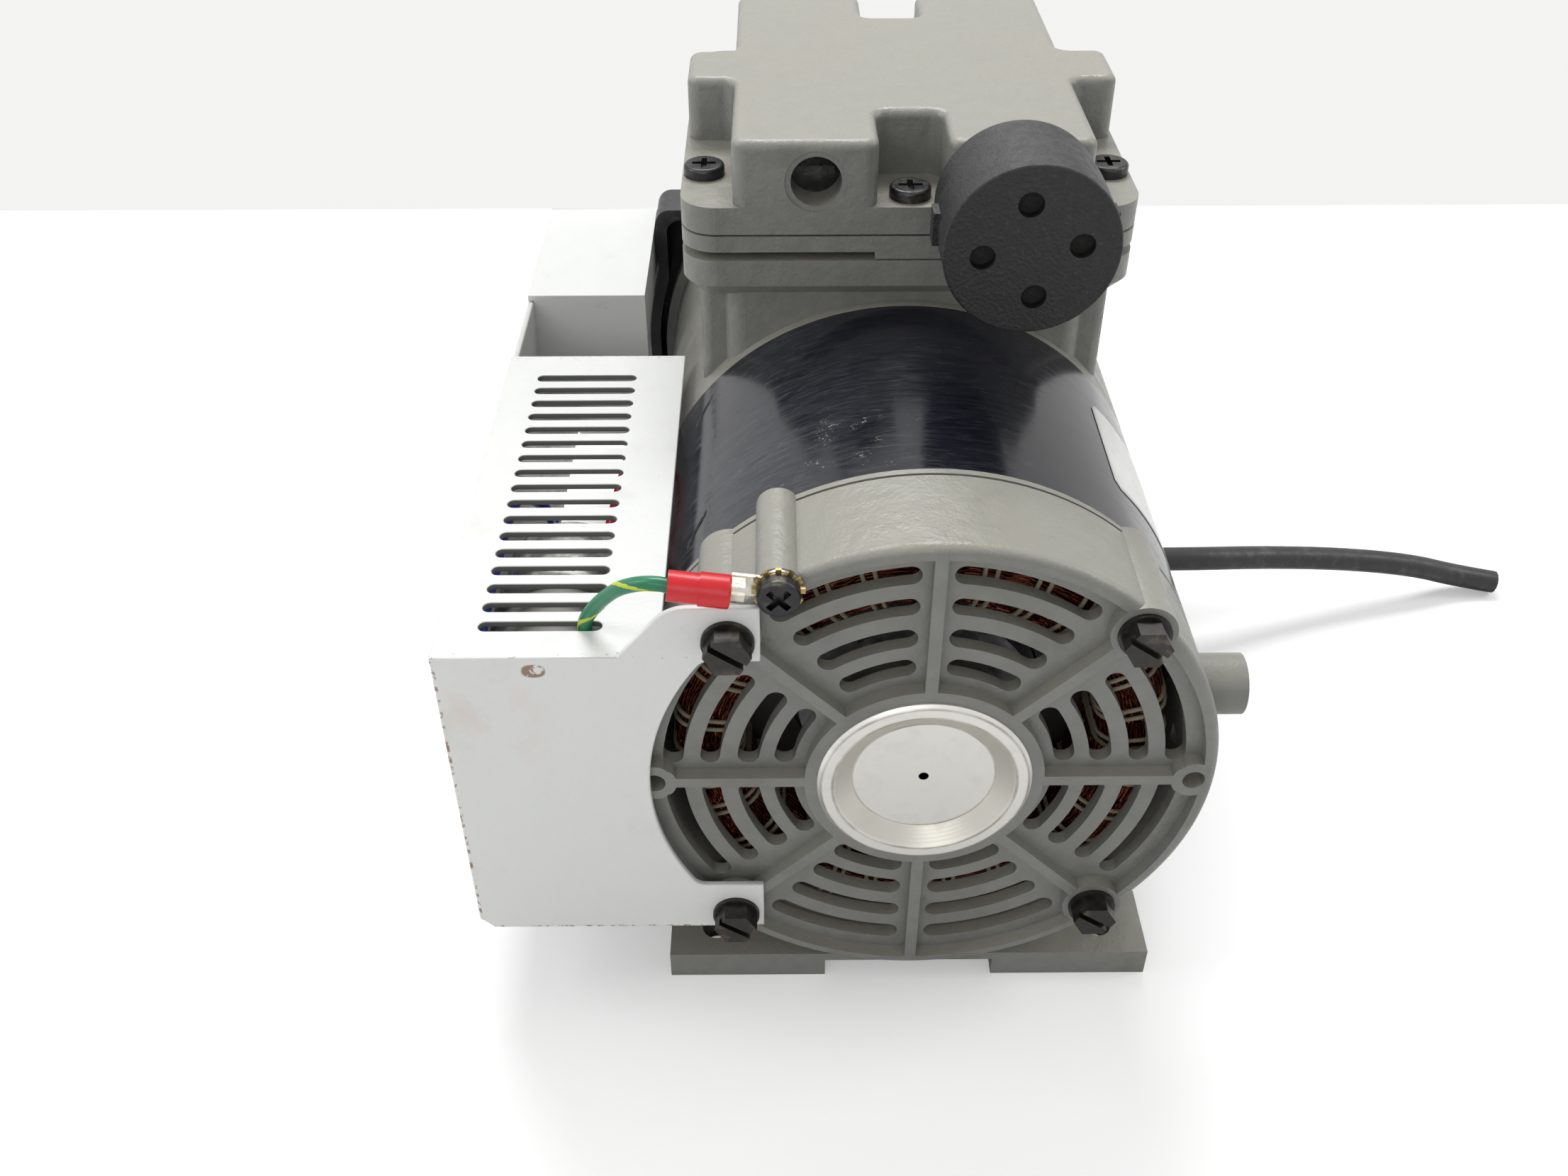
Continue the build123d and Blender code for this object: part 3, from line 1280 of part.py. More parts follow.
def along_terminal(distance):
    """Plane square to the terminal's barrel, this far from the ground screw, facing the wire."""
    origin = terminal_plane.from_local_coords((-distance, 0, sleeve_axis_lift))
    return Plane(origin=origin, x_dir=(0, 1, 0), z_dir=-terminal_plane.x_dir)


with BuildPart() as ring_terminal:
    with BuildSketch(terminal_plane):
        Circle(tongue_radius)
        Rectangle(sleeve_start, tongue_neck_width, align=(Align.MAX, Align.CENTER))
        Circle(ground_screw_radius + fit, mode=Mode.SUBTRACT)
    extrude(amount=tongue_thickness)
    with BuildSketch(terminal_plane):
        with Locations((barrel_length - sleeve_start, 0)):
            Rectangle(barrel_length, 2 * barrel_radius, align=(Align.MAX, Align.CENTER))
    extrude(amount=sleeve_axis_lift)
    with BuildSketch(along_terminal(sleeve_start - barrel_length)):
        Circle(barrel_radius)
    extrude(amount=sleeve_length + barrel_length - wire_grip)
ring_terminal.part.label = "ring_terminal"
export_step(ring_terminal.part, "parts/ring_terminal.step")

with BuildPart() as terminal_sleeve:
    with BuildSketch(along_terminal(sleeve_start)):
        Circle(sleeve_radius)
    extrude(amount=sleeve_length / 2)
    with BuildSketch(along_terminal(sleeve_start + sleeve_length / 2)):
        Circle(sleeve_flare_radius)
    extrude(amount=sleeve_length / 2)
    fillet(terminal_sleeve.edges().filter_by(GeomType.CIRCLE).sort_by(Axis.X)[-1], barrel_wall / 2)
    with BuildSketch(along_terminal(sleeve_start)):
        Circle(barrel_radius + fit)
    extrude(amount=sleeve_length, mode=Mode.SUBTRACT)
terminal_sleeve.part.label = "terminal_sleeve"
export_step(terminal_sleeve.part, "parts/terminal_sleeve.step")

washer_face_y = bell_face_y - tongue_thickness
with BuildPart() as star_washer:
    with BuildSketch(across(washer_face_y)):
        with Locations((ground_screw_x, ground_screw_rise)):
            Circle(star_washer_root)
            with PolarLocations((star_washer_root + star_washer_radius) / 2, star_washer_teeth):
                Rectangle(star_washer_radius - star_washer_root + 0.6, 1.1)
            Circle(ground_screw_radius + fit, mode=Mode.SUBTRACT)
    extrude(amount=star_washer_thickness)
star_washer.part.label = "star_washer"
export_step(star_washer.part, "parts/star_washer.step")

ground_seat_y = washer_face_y - star_washer_thickness
with BuildPart() as ground_screw:
    with BuildSketch(across(ground_seat_y)):
        with Locations((ground_screw_x, ground_screw_rise)):
            Circle(ground_head_radius)
    extrude(amount=ground_head_height)
    fillet(ground_screw.edges().group_by(Axis.Y)[0], ground_head_height / 3)
    with BuildSketch(across(ground_seat_y)):
        with Locations((ground_screw_x, ground_screw_rise)):
            Circle(ground_screw_radius)
    extrude(amount=-(ground_screw_length - 1))
    with BuildSketch(across(ground_seat_y - ground_head_height)):
        with Locations((ground_screw_x, ground_screw_rise)):
            Rectangle(cross_length, cross_width, rotation=45)
            Rectangle(cross_width, cross_length, rotation=45)
    extrude(amount=-cross_depth, mode=Mode.SUBTRACT)
ground_screw.part.label = "ground_screw"
export_step(ground_screw.part, "parts/ground_screw.step")


def tube(points, radius):
    """Round wire or cord along straight runs joined by tangent arcs."""
    radii = route_radii(points)
    with BuildPart() as run:
        with BuildLine():
            route = FilletPolyline(*points, radius=radii)
        with BuildSketch(Plane(origin=route @ 0, z_dir=route % 0)):
            Circle(radius)
        sweep(path=route)
    section = pi * radius ** 2
    print("bends", [round(bend, 1) for bend in radii], "length", round(route.length, 1))
    print("volume over section times length", round(run.part.volume / section / route.length, 4))
    return run


# ------------------------------------------------------------------ wires into the grommet
slot_y = bell_face_y + vent_slot_first
grommet_face_x = -(bell_radius + fit)
lead_end_x = grommet_face_x + crankcase_wall
wire_start = terminal_plane.from_local_coords((wire_grip - sleeve_start - sleeve_length, 0, sleeve_axis_lift))
wire_bend_x = -56.0
ground_route = [
    (wire_start.X, wire_start.Y, wire_start.Z),
    (wire_bend_x, wire_start.Y, wire_start.Z + (wire_start.X - wire_bend_x) * tan(tilt)),
    (-62.3, -85.0, 115.0),
    (-65.6, slot_y, 107.0),
    (-65.6, slot_y, 86.0),
    (-66.0, slot_y + 1.0, 66.0),
    (-66.5, slot_y + 10.0, 56.0),
    (-68.0, slot_y + 40.0, 54.0),
    (-69.0, grommet_y - 28.0, 55.0),
    (-68.0, grommet_y - 7.0, grommet_height - 2.4),
    (-62.5, grommet_y, grommet_height - 2.4),
    (lead_end_x, grommet_y, grommet_height - 2.4),
]
ground_wire = tube(ground_route, wire_radius)
ground_wire.part.label = "ground_wire"
export_step(ground_wire.part, "parts/ground_wire.step")

blade_end_y = capacitor_rear_y + capacitor_bead + blade_length
red_route = [
    (capacitor_x + blade_offset, blade_end_y, capacitor_height),
    (capacitor_x + blade_offset, blade_end_y + 8.0, capacitor_height),
    (-67.0, blade_end_y + 18.0, 85.0),
    (-66.0, blade_end_y + 32.0, 84.0),
    (-67.0, grommet_y - 10.0, 72.0),
    (-67.5, grommet_y - 1.0, grommet_height + 1.6),
    (-62.0, grommet_y + 2.2, grommet_height + 1.4),
    (lead_end_x, grommet_y + 2.2, grommet_height + 1.4),
]
red_lead = tube(red_route, lead_radius)
red_lead.part.label = "red_lead"
export_step(red_lead.part, "parts/red_lead.step")

blue_route = [
    (capacitor_x - blade_offset, blade_end_y, capacitor_height),
    (capacitor_x - blade_offset, blade_end_y + 7.0, capacitor_height),
    (-85.0, blade_end_y + 14.0, 82.0),
    (-89.5, blade_end_y + 8.0, 89.0),
    (-90.5, blade_end_y - 6.0, 91.0),
    (-90.5, slot_y + 12.0, 91.0),
    (-90.0, slot_y, 86.0),
    (-88.5, slot_y - 1.0, 70.0),
    (-84.0, slot_y + 1.0, 58.0),
    (-78.0, slot_y + 14.0, 55.0),
    (-76.0, slot_y + 44.0, 54.0),
    (-75.0, grommet_y - 34.0, 56.0),
    (-71.0, grommet_y - 8.0, grommet_height + 1.4),
    (-63.5, grommet_y - 2.2, grommet_height + 1.4),
    (lead_end_x, grommet_y - 2.2, grommet_height + 1.4),
]
blue_lead = tube(blue_route, lead_radius)
blue_lead.part.label = "blue_lead"
export_step(blue_lead.part, "parts/blue_lead.step")

with BuildPart() as lead_grommet:
    with BuildSketch(sideways(grommet_face_x, grommet_y, grommet_height)):
        Circle(grommet_radius)
    extrude(amount=crankcase_wall)
    with BuildSketch(sideways(grommet_face_x, grommet_y, grommet_height)):
        Circle(grommet_flange)
    extrude(amount=-grommet_flange_thickness)
    with BuildSketch(sideways(grommet_face_x + crankcase_wall, grommet_y, grommet_height)):
        Circle(grommet_bore)
    extrude(amount=-bell_radius, mode=Mode.SUBTRACT)
lead_grommet.part.label = "lead_grommet"
export_step(lead_grommet.part, "parts/lead_grommet.step")

# ------------------------------------------------------------------ power cord and its gland
gland_y = shell_rear_y + gland_depth
gland_tip_x = gland_boss_face + gland_nut_length + gland_sleeve_length
with BuildPart() as cord_gland:
    with BuildSketch(sideways(gland_boss_face - gland_grip, gland_y, gland_height)):
        Circle(gland_thread_radius)
    extrude(amount=gland_grip)
    with BuildSketch(sideways(gland_boss_face, gland_y, gland_height)):
        RegularPolygon(gland_nut_radius, 6)
    extrude(amount=gland_nut_length)
    with BuildSketch(sideways(gland_boss_face + gland_nut_length, gland_y, gland_height)):
        Circle(gland_thread_radius)
    with BuildSketch(sideways(gland_tip_x, gland_y, gland_height)):
        Circle(gland_tip_radius)
    loft()
    with BuildSketch(sideways(gland_tip_x, gland_y, gland_height)):
        Circle(cord_diameter / 2 + fit)
    extrude(amount=-(gland_sleeve_length + gland_nut_length + gland_grip), mode=Mode.SUBTRACT)
cord_gland.part.label = "cord_gland"
export_step(cord_gland.part, "parts/cord_gland.step")

cord_route = [
    (gland_boss_face + gland_nut_length, gland_y, gland_height),
    (88.0, gland_y, gland_height),
    (112.0, 47.6, 21.0),
    (139.0, 53.3, 16.0),
    (163.0, 56.4, 11.0),
    (178.0, 58.7, 5.2),
    (190.5, 57.5, 3.4),
]
power_cord = tube(cord_route, cord_diameter / 2)
power_cord.part.label = "power_cord"
export_step(power_cord.part, "parts/power_cord.step")

# ------------------------------------------------------------------ intake filter on the front right port
body_back_y = head_front_y - filter_collar_length
body_front_y = body_back_y - filter_body_length
filter_face_y = body_front_y - filter_cap_length
with BuildPart() as filter_body:
    with BuildSketch(across(head_front_y, port_height)):
        with Locations((port_x, 0)):
            Circle(port_radius - fit)
    extrude(amount=-filter_thread_length)
    with BuildSketch(across(body_back_y, port_height)):
        with Locations((port_x, 0)):
            RegularPolygon(filter_hex_flats / 2, 6, major_radius=False)
    extrude(amount=-filter_collar_length)
    with BuildSketch(across(body_front_y, port_height)):
        with Locations((port_x, 0)):
            Circle(filter_radius - filter_step)
    extrude(amount=-filter_body_length)
    body_rims = filter_body.edges().filter_by(GeomType.CIRCLE).sort_by(SortBy.RADIUS)[-2:]
    fillet(body_rims.sort_by(Axis.Y)[-1], filter_wall)
    with BuildSketch(across(body_front_y, port_height)):
        with Locations((port_x, 0)):
            Circle(filter_radius - filter_step - filter_wall)
    extrude(amount=-(filter_body_length - filter_wall), mode=Mode.SUBTRACT)
    with BuildSketch(across(body_front_y, port_height)):
        with Locations((port_x, 0)):
            Circle(filter_bore_radius)
    extrude(amount=-(filter_body_length + filter_collar_length + filter_thread_length), mode=Mode.SUBTRACT)
filter_body.part.label = "filter_body"
export_step(filter_body.part, "parts/filter_body.step")

with BuildPart() as filter_cap:
    with BuildSketch(across(filter_face_y, port_height)):
        with Locations((port_x, 0)):
            Circle(filter_radius)
    extrude(amount=-filter_cap_length)
    fillet(filter_cap.edges().group_by(Axis.Y)[0], filter_step)
    with BuildSketch(across(body_front_y, port_height)):
        with Locations((port_x, 0)):
            Rectangle(2 * (filter_radius + filter_ear_height), filter_ear_width)
            Circle(filter_radius - filter_wall, mode=Mode.SUBTRACT)
    extrude(amount=filter_ear_length)
    with BuildSketch(across(filter_face_y + filter_wall, port_height)):
        with Locations((port_x, 0)):
            Circle(filter_radius - filter_wall)
    extrude(amount=-filter_cap_length, mode=Mode.SUBTRACT)
    with BuildSketch(across(filter_face_y, port_height)):
        with Locations((port_x, 0)):
            with PolarLocations(filter_hole_circle, 4, start_angle=filter_hole_turn):
                Circle(filter_hole_radius)
    extrude(amount=-filter_wall, mode=Mode.SUBTRACT)
filter_cap.part.label = "filter_cap"
export_step(filter_cap.part, "parts/filter_cap.step")

with BuildPart() as filter_felt:
    with BuildSketch(across(filter_face_y + filter_wall + felt_clearance, port_height)):
        with Locations((port_x, 0)):
            Circle(filter_radius - filter_wall - felt_clearance)
    extrude(amount=-felt_thickness)
filter_felt.part.label = "filter_felt"
export_step(filter_felt.part, "parts/filter_felt.step")
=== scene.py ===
from math import atan2, cos, degrees, pi, radians, sin, sqrt

import bmesh
import bpy
from mathutils import Matrix, Vector


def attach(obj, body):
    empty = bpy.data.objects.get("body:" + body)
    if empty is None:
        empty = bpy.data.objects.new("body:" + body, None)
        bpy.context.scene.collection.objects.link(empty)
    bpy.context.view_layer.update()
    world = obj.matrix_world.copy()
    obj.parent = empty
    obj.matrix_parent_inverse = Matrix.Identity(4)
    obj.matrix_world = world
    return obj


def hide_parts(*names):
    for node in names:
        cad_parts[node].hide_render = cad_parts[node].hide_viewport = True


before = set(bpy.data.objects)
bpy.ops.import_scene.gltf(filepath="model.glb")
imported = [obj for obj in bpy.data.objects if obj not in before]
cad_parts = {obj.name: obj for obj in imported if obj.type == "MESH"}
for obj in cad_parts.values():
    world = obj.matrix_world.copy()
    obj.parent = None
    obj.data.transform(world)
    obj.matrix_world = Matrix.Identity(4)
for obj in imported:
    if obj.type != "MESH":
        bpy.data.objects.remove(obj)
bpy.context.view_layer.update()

# Sizes are in millimetres in the shared frame: Z up, the motor's axis along Y through X 0.
mm = 0.001
axis_height = 65.4
bell_face = -85.7       # front plane of the bell, where the bracket's front plate sits

# The bracket: its thickness, then where its outer faces and edges lie.
sheet = 1.5
bracket_left = -96.0
bracket_back = 115.3
plate_bottom = 21.5
wall_bottom = 24.5
deck_top = 101.0
deck_back = 27.1
tuck = 0.05             # how far panels stop short of each other's outer faces at a fold


def linked(name, data):
    """A new object of the scene that holds the data."""
    piece = bpy.data.objects.new(name, data)
    bpy.context.scene.collection.objects.link(piece)
    return piece


# -------------------------------------------------- camera
def look_from(place, yaw, pitch, roll, lens):
    """Camera at a place in millimetres, its turns in radians."""
    forward = Vector((sin(yaw) * cos(pitch), cos(yaw) * cos(pitch), -sin(pitch)))
    level = forward.to_track_quat("-Z", "Y").to_matrix().to_4x4()
    data = bpy.data.cameras.new("camera")
    data.lens = lens
    data.sensor_width = 36.0
    camera = linked("camera", data)
    turn = Matrix.Rotation(roll, 4, forward) @ level
    camera.matrix_world = Matrix.Translation(Vector(place) * mm) @ turn
    bpy.context.scene.camera = camera


look_from((-30.08, -297.21, 284.56), radians(0.376), radians(38.495), radians(0.076), 33.84)


# -------------------------------------------------- material kit
class Kit:
    """Builds one procedural material. Its coordinates are the shared frame's, in millimetres."""

    def __init__(self, name):
        self.mat = bpy.data.materials.new(name)
        self.mat.use_nodes = True
        self.tree = self.mat.node_tree
        self.bsdf = self.tree.nodes["Principled BSDF"]
        place = self.add("ShaderNodeTexCoord")
        scale = self.add("ShaderNodeVectorMath", operation="SCALE")
        self.tree.links.new(place.outputs["Object"], scale.inputs[0])
        scale.inputs["Scale"].default_value = 1 / mm
        self.place = scale.outputs[0]

    def add(self, kind, **props):
        node = self.tree.nodes.new(kind)
        for key, value in props.items():
            setattr(node, key, value)
        return node

    def put(self, socket, value):
        """Links an output to a socket, or sets the socket to a colour or a number."""
        if isinstance(value, bpy.types.NodeSocket):
            self.tree.links.new(value, socket)
        elif isinstance(value, tuple) and socket.type == "RGBA":
            socket.default_value = value + (1.0,)
        else:
            socket.default_value = value

    def math(self, operation, a, b=0.0):
        node = self.add("ShaderNodeMath", operation=operation)
        self.put(node.inputs[0], a)
        self.put(node.inputs[1], b)
        return node.outputs[0]

    def times(self, first, *others):
        product = first
        for value in others:
            product = self.math("MULTIPLY", product, value)
        return product

    def largest(self, first, *others):
        result = first
        for value in others:
            result = self.math("MAXIMUM", result, value)
        return result

    def wave(self, value, length):
        """Sine of a distance, with one full turn over each length."""
        return self.math("SINE", self.times(value, 2 * pi / length))

    def axes(self):
        node = self.add("ShaderNodeSeparateXYZ")
        self.put(node.inputs[0], self.place)
        return node.outputs[0], node.outputs[1], node.outputs[2]

    def off_axis(self):
        """Distance from the motor's axis."""
        x, _, z = self.axes()
        up = self.math("SUBTRACT", z, axis_height)
        return self.math("SQRT", self.math("ADD", self.times(x, x), self.times(up, up)))

    def stretch(self, x, y, z):
        node = self.add("ShaderNodeVectorMath", operation="MULTIPLY")
        self.put(node.inputs[0], self.place)
        node.inputs[1].default_value = (x, y, z)
        return node.outputs[0]

    def noise(self, size, detail=3.0, roughness=0.55, vector=None, distortion=0.0):
        node = self.add("ShaderNodeTexNoise")
        self.put(node.inputs["Vector"], vector or self.place)
        node.inputs["Scale"].default_value = 1.0 / size
        node.inputs["Detail"].default_value = detail
        node.inputs["Roughness"].default_value = roughness
        node.inputs["Distortion"].default_value = distortion
        return node.outputs[0]

    def step(self, value, low, high, to_low=0.0, to_high=1.0):
        """Goes smoothly from to_low to to_high as the value goes from low to high."""
        node = self.add("ShaderNodeMapRange", clamp=True, interpolation_type="SMOOTHSTEP")
        self.put(node.inputs["Value"], value)
        node.inputs["From Min"].default_value = low
        node.inputs["From Max"].default_value = high
        node.inputs["To Min"].default_value = to_low
        node.inputs["To Max"].default_value = to_high
        return node.outputs["Result"]

    def near(self, value, middle, reach):
        """1 at a middle value, 0 a reach away from it."""
        away = self.math("ABSOLUTE", self.math("SUBTRACT", value, middle))
        return self.step(away, 0.0, reach, 1.0, 0.0)

    def mix(self, share, low, high):
        node = self.add("ShaderNodeMix", data_type="RGBA")
        self.put(node.inputs[0], share)
        self.put(node.inputs[6], low)
        self.put(node.inputs[7], high)
        return node.outputs[2]

    def bump(self, height, depth, strength=1.0, under=None):
        """Normal of a relief with a depth in millimetres, over another relief if one is given."""
        node = self.add("ShaderNodeBump")
        self.put(node.inputs["Height"], height)
        node.inputs["Distance"].default_value = depth * mm
        node.inputs["Strength"].default_value = strength
        if under is not None:
            self.put(node.inputs["Normal"], under)
        return node.outputs[0]

    def facing(self, x, y, z):
        """How much a surface faces a direction of the frame."""
        place = self.add("ShaderNodeTexCoord")
        dot = self.add("ShaderNodeVectorMath", operation="DOT_PRODUCT")
        self.put(dot.inputs[0], place.outputs["Normal"])
        dot.inputs[1].default_value = (x, y, z)
        return dot.outputs["Value"]

    def done(self, color, rough, normal, metallic=0.0):
        self.put(self.bsdf.inputs["Base Color"], color)
        self.put(self.bsdf.inputs["Roughness"], rough)
        self.put(self.bsdf.inputs["Normal"], normal)
        self.put(self.bsdf.inputs["Metallic"], metallic)
        return self.mat


def scaled(values, factor):
    return tuple(value * factor for value in values)


# -------------------------------------------------- materials
def cast_paint(name, color):
    """Grey-beige paint on a die casting: sandy skin, painted light paler and warmer on top, dark
    patches on its sides.
    """
    kit = Kit(name)
    # Painted light: faces that point up are made paler, and warmer in patches.
    lit_top_tone = (color[0] * 1.62, color[1] * 1.59, color[2] * 1.49)
    warm_lit_top = (color[0] * 1.56, color[1] * 1.47, color[2] * 1.32)
    sand = kit.noise(0.75, 3.0, 0.6)
    coarse = kit.noise(4.0, 3.0)
    # Darker patches, strongest on faces that do not point up.
    dark_patches = kit.step(kit.noise(22.0, 4.0, 0.6), 0.50, 0.70)
    specks = kit.step(kit.noise(1.5, 4.0, 0.7), 0.70, 0.76)
    upward = kit.step(kit.facing(0, 0, 1), 0.3, 0.9)
    sides = kit.step(upward, 0.2, 0.7, 1.0, 0.12)
    warm_lit_patch = kit.times(kit.step(kit.noise(26.0, 2.0), 0.40, 0.65), upward)
    tone = kit.mix(kit.step(coarse, 0.35, 0.7), color, scaled(color, 1.10))
    # Painted light: the tone turns paler on faces that point up.
    tone = kit.mix(kit.times(upward, 0.85), tone, lit_top_tone)
    tone = kit.mix(kit.times(dark_patches, sides, 0.45), tone, scaled(color, 0.70))
    tone = kit.mix(kit.times(warm_lit_patch, 0.35), tone, warm_lit_top)
    tone = kit.mix(kit.times(specks, 0.6), tone, (0.085, 0.070, 0.055))
    rough = kit.step(kit.noise(5.0, 4.0), 0.3, 0.7, 0.30, 0.46)
    return kit.done(tone, rough, kit.bump(sand, 0.14, 0.8, kit.bump(coarse, 0.45, 0.6)))


def shell_paint():
    """Glossy black paint: wiped in arcs, a painted reflection on the left, dusty scuffs on top,
    scratches, two lanced marks.
    """
    kit = Kit("shell_black")
    x, y, z = kit.axes()
    wipes = kit.noise(2.2, 6.0, 0.7, kit.stretch(0.22, 1.7, 0.22), 1.4)
    scuffs = kit.step(kit.noise(9.0, 6.0, 0.75), 0.55, 0.66)
    scuffed_place = kit.step(kit.times(kit.near(x, -18.0, 30.0), kit.near(y, -42.0, 24.0)), 0.1, 0.5)
    fine = kit.step(kit.noise(0.55, 2.0, 0.6), 0.52, 0.66)
    dust = kit.times(scuffs, scuffed_place, fine, kit.step(z, 95.0, 110.0))
    scratches = kit.step(kit.noise(0.45, 2.0, 0.5, kit.stretch(0.05, 1.0, 0.05)), 0.70, 0.76)
    # Painted reflection: the pale wipe haze grows stronger towards the left side.
    left_reflection = kit.step(x, -8.0, -30.0, 0.25, 1.0)
    wipe_haze_and_reflection = kit.times(kit.step(wipes, 0.38, 0.72), left_reflection, 0.42)
    tone = kit.mix(wipe_haze_and_reflection, (0.0065, 0.0070, 0.0120), (0.085, 0.092, 0.112))
    tone = kit.mix(kit.times(dust, 0.8), tone, (0.34, 0.32, 0.31))
    tone = kit.mix(kit.times(scratches, 0.30), tone, (0.14, 0.14, 0.15))
    mark_x, mark_slant = -46.6, -1.6
    marks = 0.0
    for mark_y in (-2.4, -49.1):
        slant = kit.times(kit.math("SUBTRACT", x, mark_x), mark_slant)
        along = kit.math("ADD", kit.math("SUBTRACT", y, mark_y), slant)
        spot = kit.times(kit.near(along, 0.0, 1.3), kit.near(x, mark_x, 2.4))
        marks = kit.largest(kit.times(spot, kit.step(z, 90.0, 92.0)), marks)
    tone = kit.mix(kit.step(marks, 0.15, 0.5), tone, (0.002, 0.002, 0.002))
    rough = kit.math("ADD", kit.step(wipes, 0.35, 0.75, 0.12, 0.30), kit.times(dust, 0.5))
    swell = kit.bump(kit.noise(26.0, 2.0), 0.4, 0.35)
    return kit.done(tone, rough, kit.bump(marks, -1.2, 1.0, swell))


def white_coat():
    """White powder coat: orange peel, rust on edges, a pink smear, grit, painted shade on the slot
    walls.
    """
    kit = Kit("white_coat")
    x, y, z = kit.axes()
    front = kit.step(y, bell_face - 0.9, bell_face + 0.4, 1.0, 0.0)
    chips = kit.step(kit.noise(1.9, 5.0, 0.75), 0.51, 0.57)
    rims = kit.largest(kit.near(x, bracket_left, 1.1), kit.near(z, plate_bottom, 1.0))
    edge = kit.times(kit.step(rims, 0.05, 0.4), chips)
    fold_chips = kit.step(kit.noise(1.5, 4.0, 0.7), 0.62, 0.68)
    fold = kit.times(kit.near(z, deck_top + 0.2, 1.0), fold_chips)
    flake_place = kit.times(kit.near(x, -76.5, 3.4), kit.near(z, 97.6, 2.4))
    flake_shape = kit.step(kit.noise(1.6, 4.0), 0.46, 0.54)
    flake = kit.times(kit.step(flake_place, 0.15, 0.35), flake_shape)
    rust = kit.times(kit.largest(flake, fold, edge), kit.step(front, 0.0, 1.0, 0.06, 0.85))
    smear_place = kit.times(kit.near(x, -86.0, 15.0), kit.near(z, 84.0, 18.0))
    smear = kit.times(smear_place, kit.step(kit.noise(8.0, 3.0), 0.42, 0.66), front)
    smudge = kit.step(kit.noise(13.0, 5.0, 0.65), 0.55, 0.76)
    grit = kit.times(kit.near(y, deck_back, 4.0), kit.step(kit.noise(1.1, 5.0, 0.8), 0.52, 0.66))
    on_deck = kit.step(z, deck_top - 2.0, deck_top - 1.0, 0.0, 0.55)
    tone = kit.mix(kit.times(smudge, 0.22), (0.72, 0.73, 0.715), (0.50, 0.49, 0.46))
    tone = kit.mix(kit.times(smear, 0.45), tone, (0.70, 0.52, 0.46))
    tone = kit.mix(kit.times(grit, on_deck), tone, (0.26, 0.24, 0.14))
    tone = kit.mix(rust, tone, (0.20, 0.080, 0.030))
    level = kit.math("ABSOLUTE", kit.facing(0, 0, 1))
    # Painted shade: the upright walls of the deck's slots are darkened.
    slot_wall_shade = kit.times(
        kit.step(level, 0.3, 0.6, 1.0, 0.0),
        kit.near(z, deck_top - 1.0, 1.0),
        kit.step(kit.near(x, -76.0, 15.0), 0.0, 0.02),
        kit.step(y, bell_face + 4.0, bell_face + 5.0),
        kit.step(y, 25.0, 25.5, 1.0, 0.0),
    )
    tone = kit.mix(kit.step(slot_wall_shade, 0.0, 0.2, 0.0, 0.85), tone, (0.06, 0.058, 0.055))
    rough = kit.step(kit.noise(6.0), 0.3, 0.7, 0.32, 0.46)
    return kit.done(tone, rough, kit.bump(kit.noise(1.1, 2.0), 0.10, 0.6))


def capacitor_can():
    """Dull drawn aluminium can with a grey band round its front half."""
    kit = Kit("capacitor_can")
    _, y, _ = kit.axes()
    band_start, band_end = bell_face + 14.5, bell_face + 29.0
    band = kit.times(kit.step(y, band_start, band_start + 0.5),
                     kit.step(y, band_end, band_end + 0.5, 1.0, 0.0))
    spangle = kit.noise(1.6, 4.0, 0.7)
    tone = kit.mix(kit.step(spangle, 0.35, 0.7), (0.42, 0.42, 0.39), (0.74, 0.74, 0.70))
    tone = kit.mix(band, tone, (0.30, 0.29, 0.275))
    rough = kit.step(spangle, 0.3, 0.7, 0.34, 0.52)
    return kit.done(tone, rough, kit.bump(spangle, 0.05), kit.step(band, 0.0, 1.0, 0.25, 0.0))


def metal(name, color, rough, stain=(0.16, 0.13, 0.10), stained=0.3, depth=0.05):
    """Plain or plated metal with a stain in patches and a fine grain."""
    kit = Kit(name)
    grain = kit.noise(0.7, 3.0, 0.6)
    patch = kit.step(kit.noise(4.5, 5.0, 0.65), 0.52, 0.7)
    tone = kit.mix(kit.times(patch, stained), color, stain)
    tone = kit.mix(kit.step(grain, 0.35, 0.75, 0.0, 0.25), tone, scaled(color, 0.7))
    spread = kit.step(kit.noise(2.0, 4.0), 0.3, 0.7, rough * 0.75, rough * 1.35)
    return kit.done(tone, spread, kit.bump(grain, depth, 0.6), 0.95)


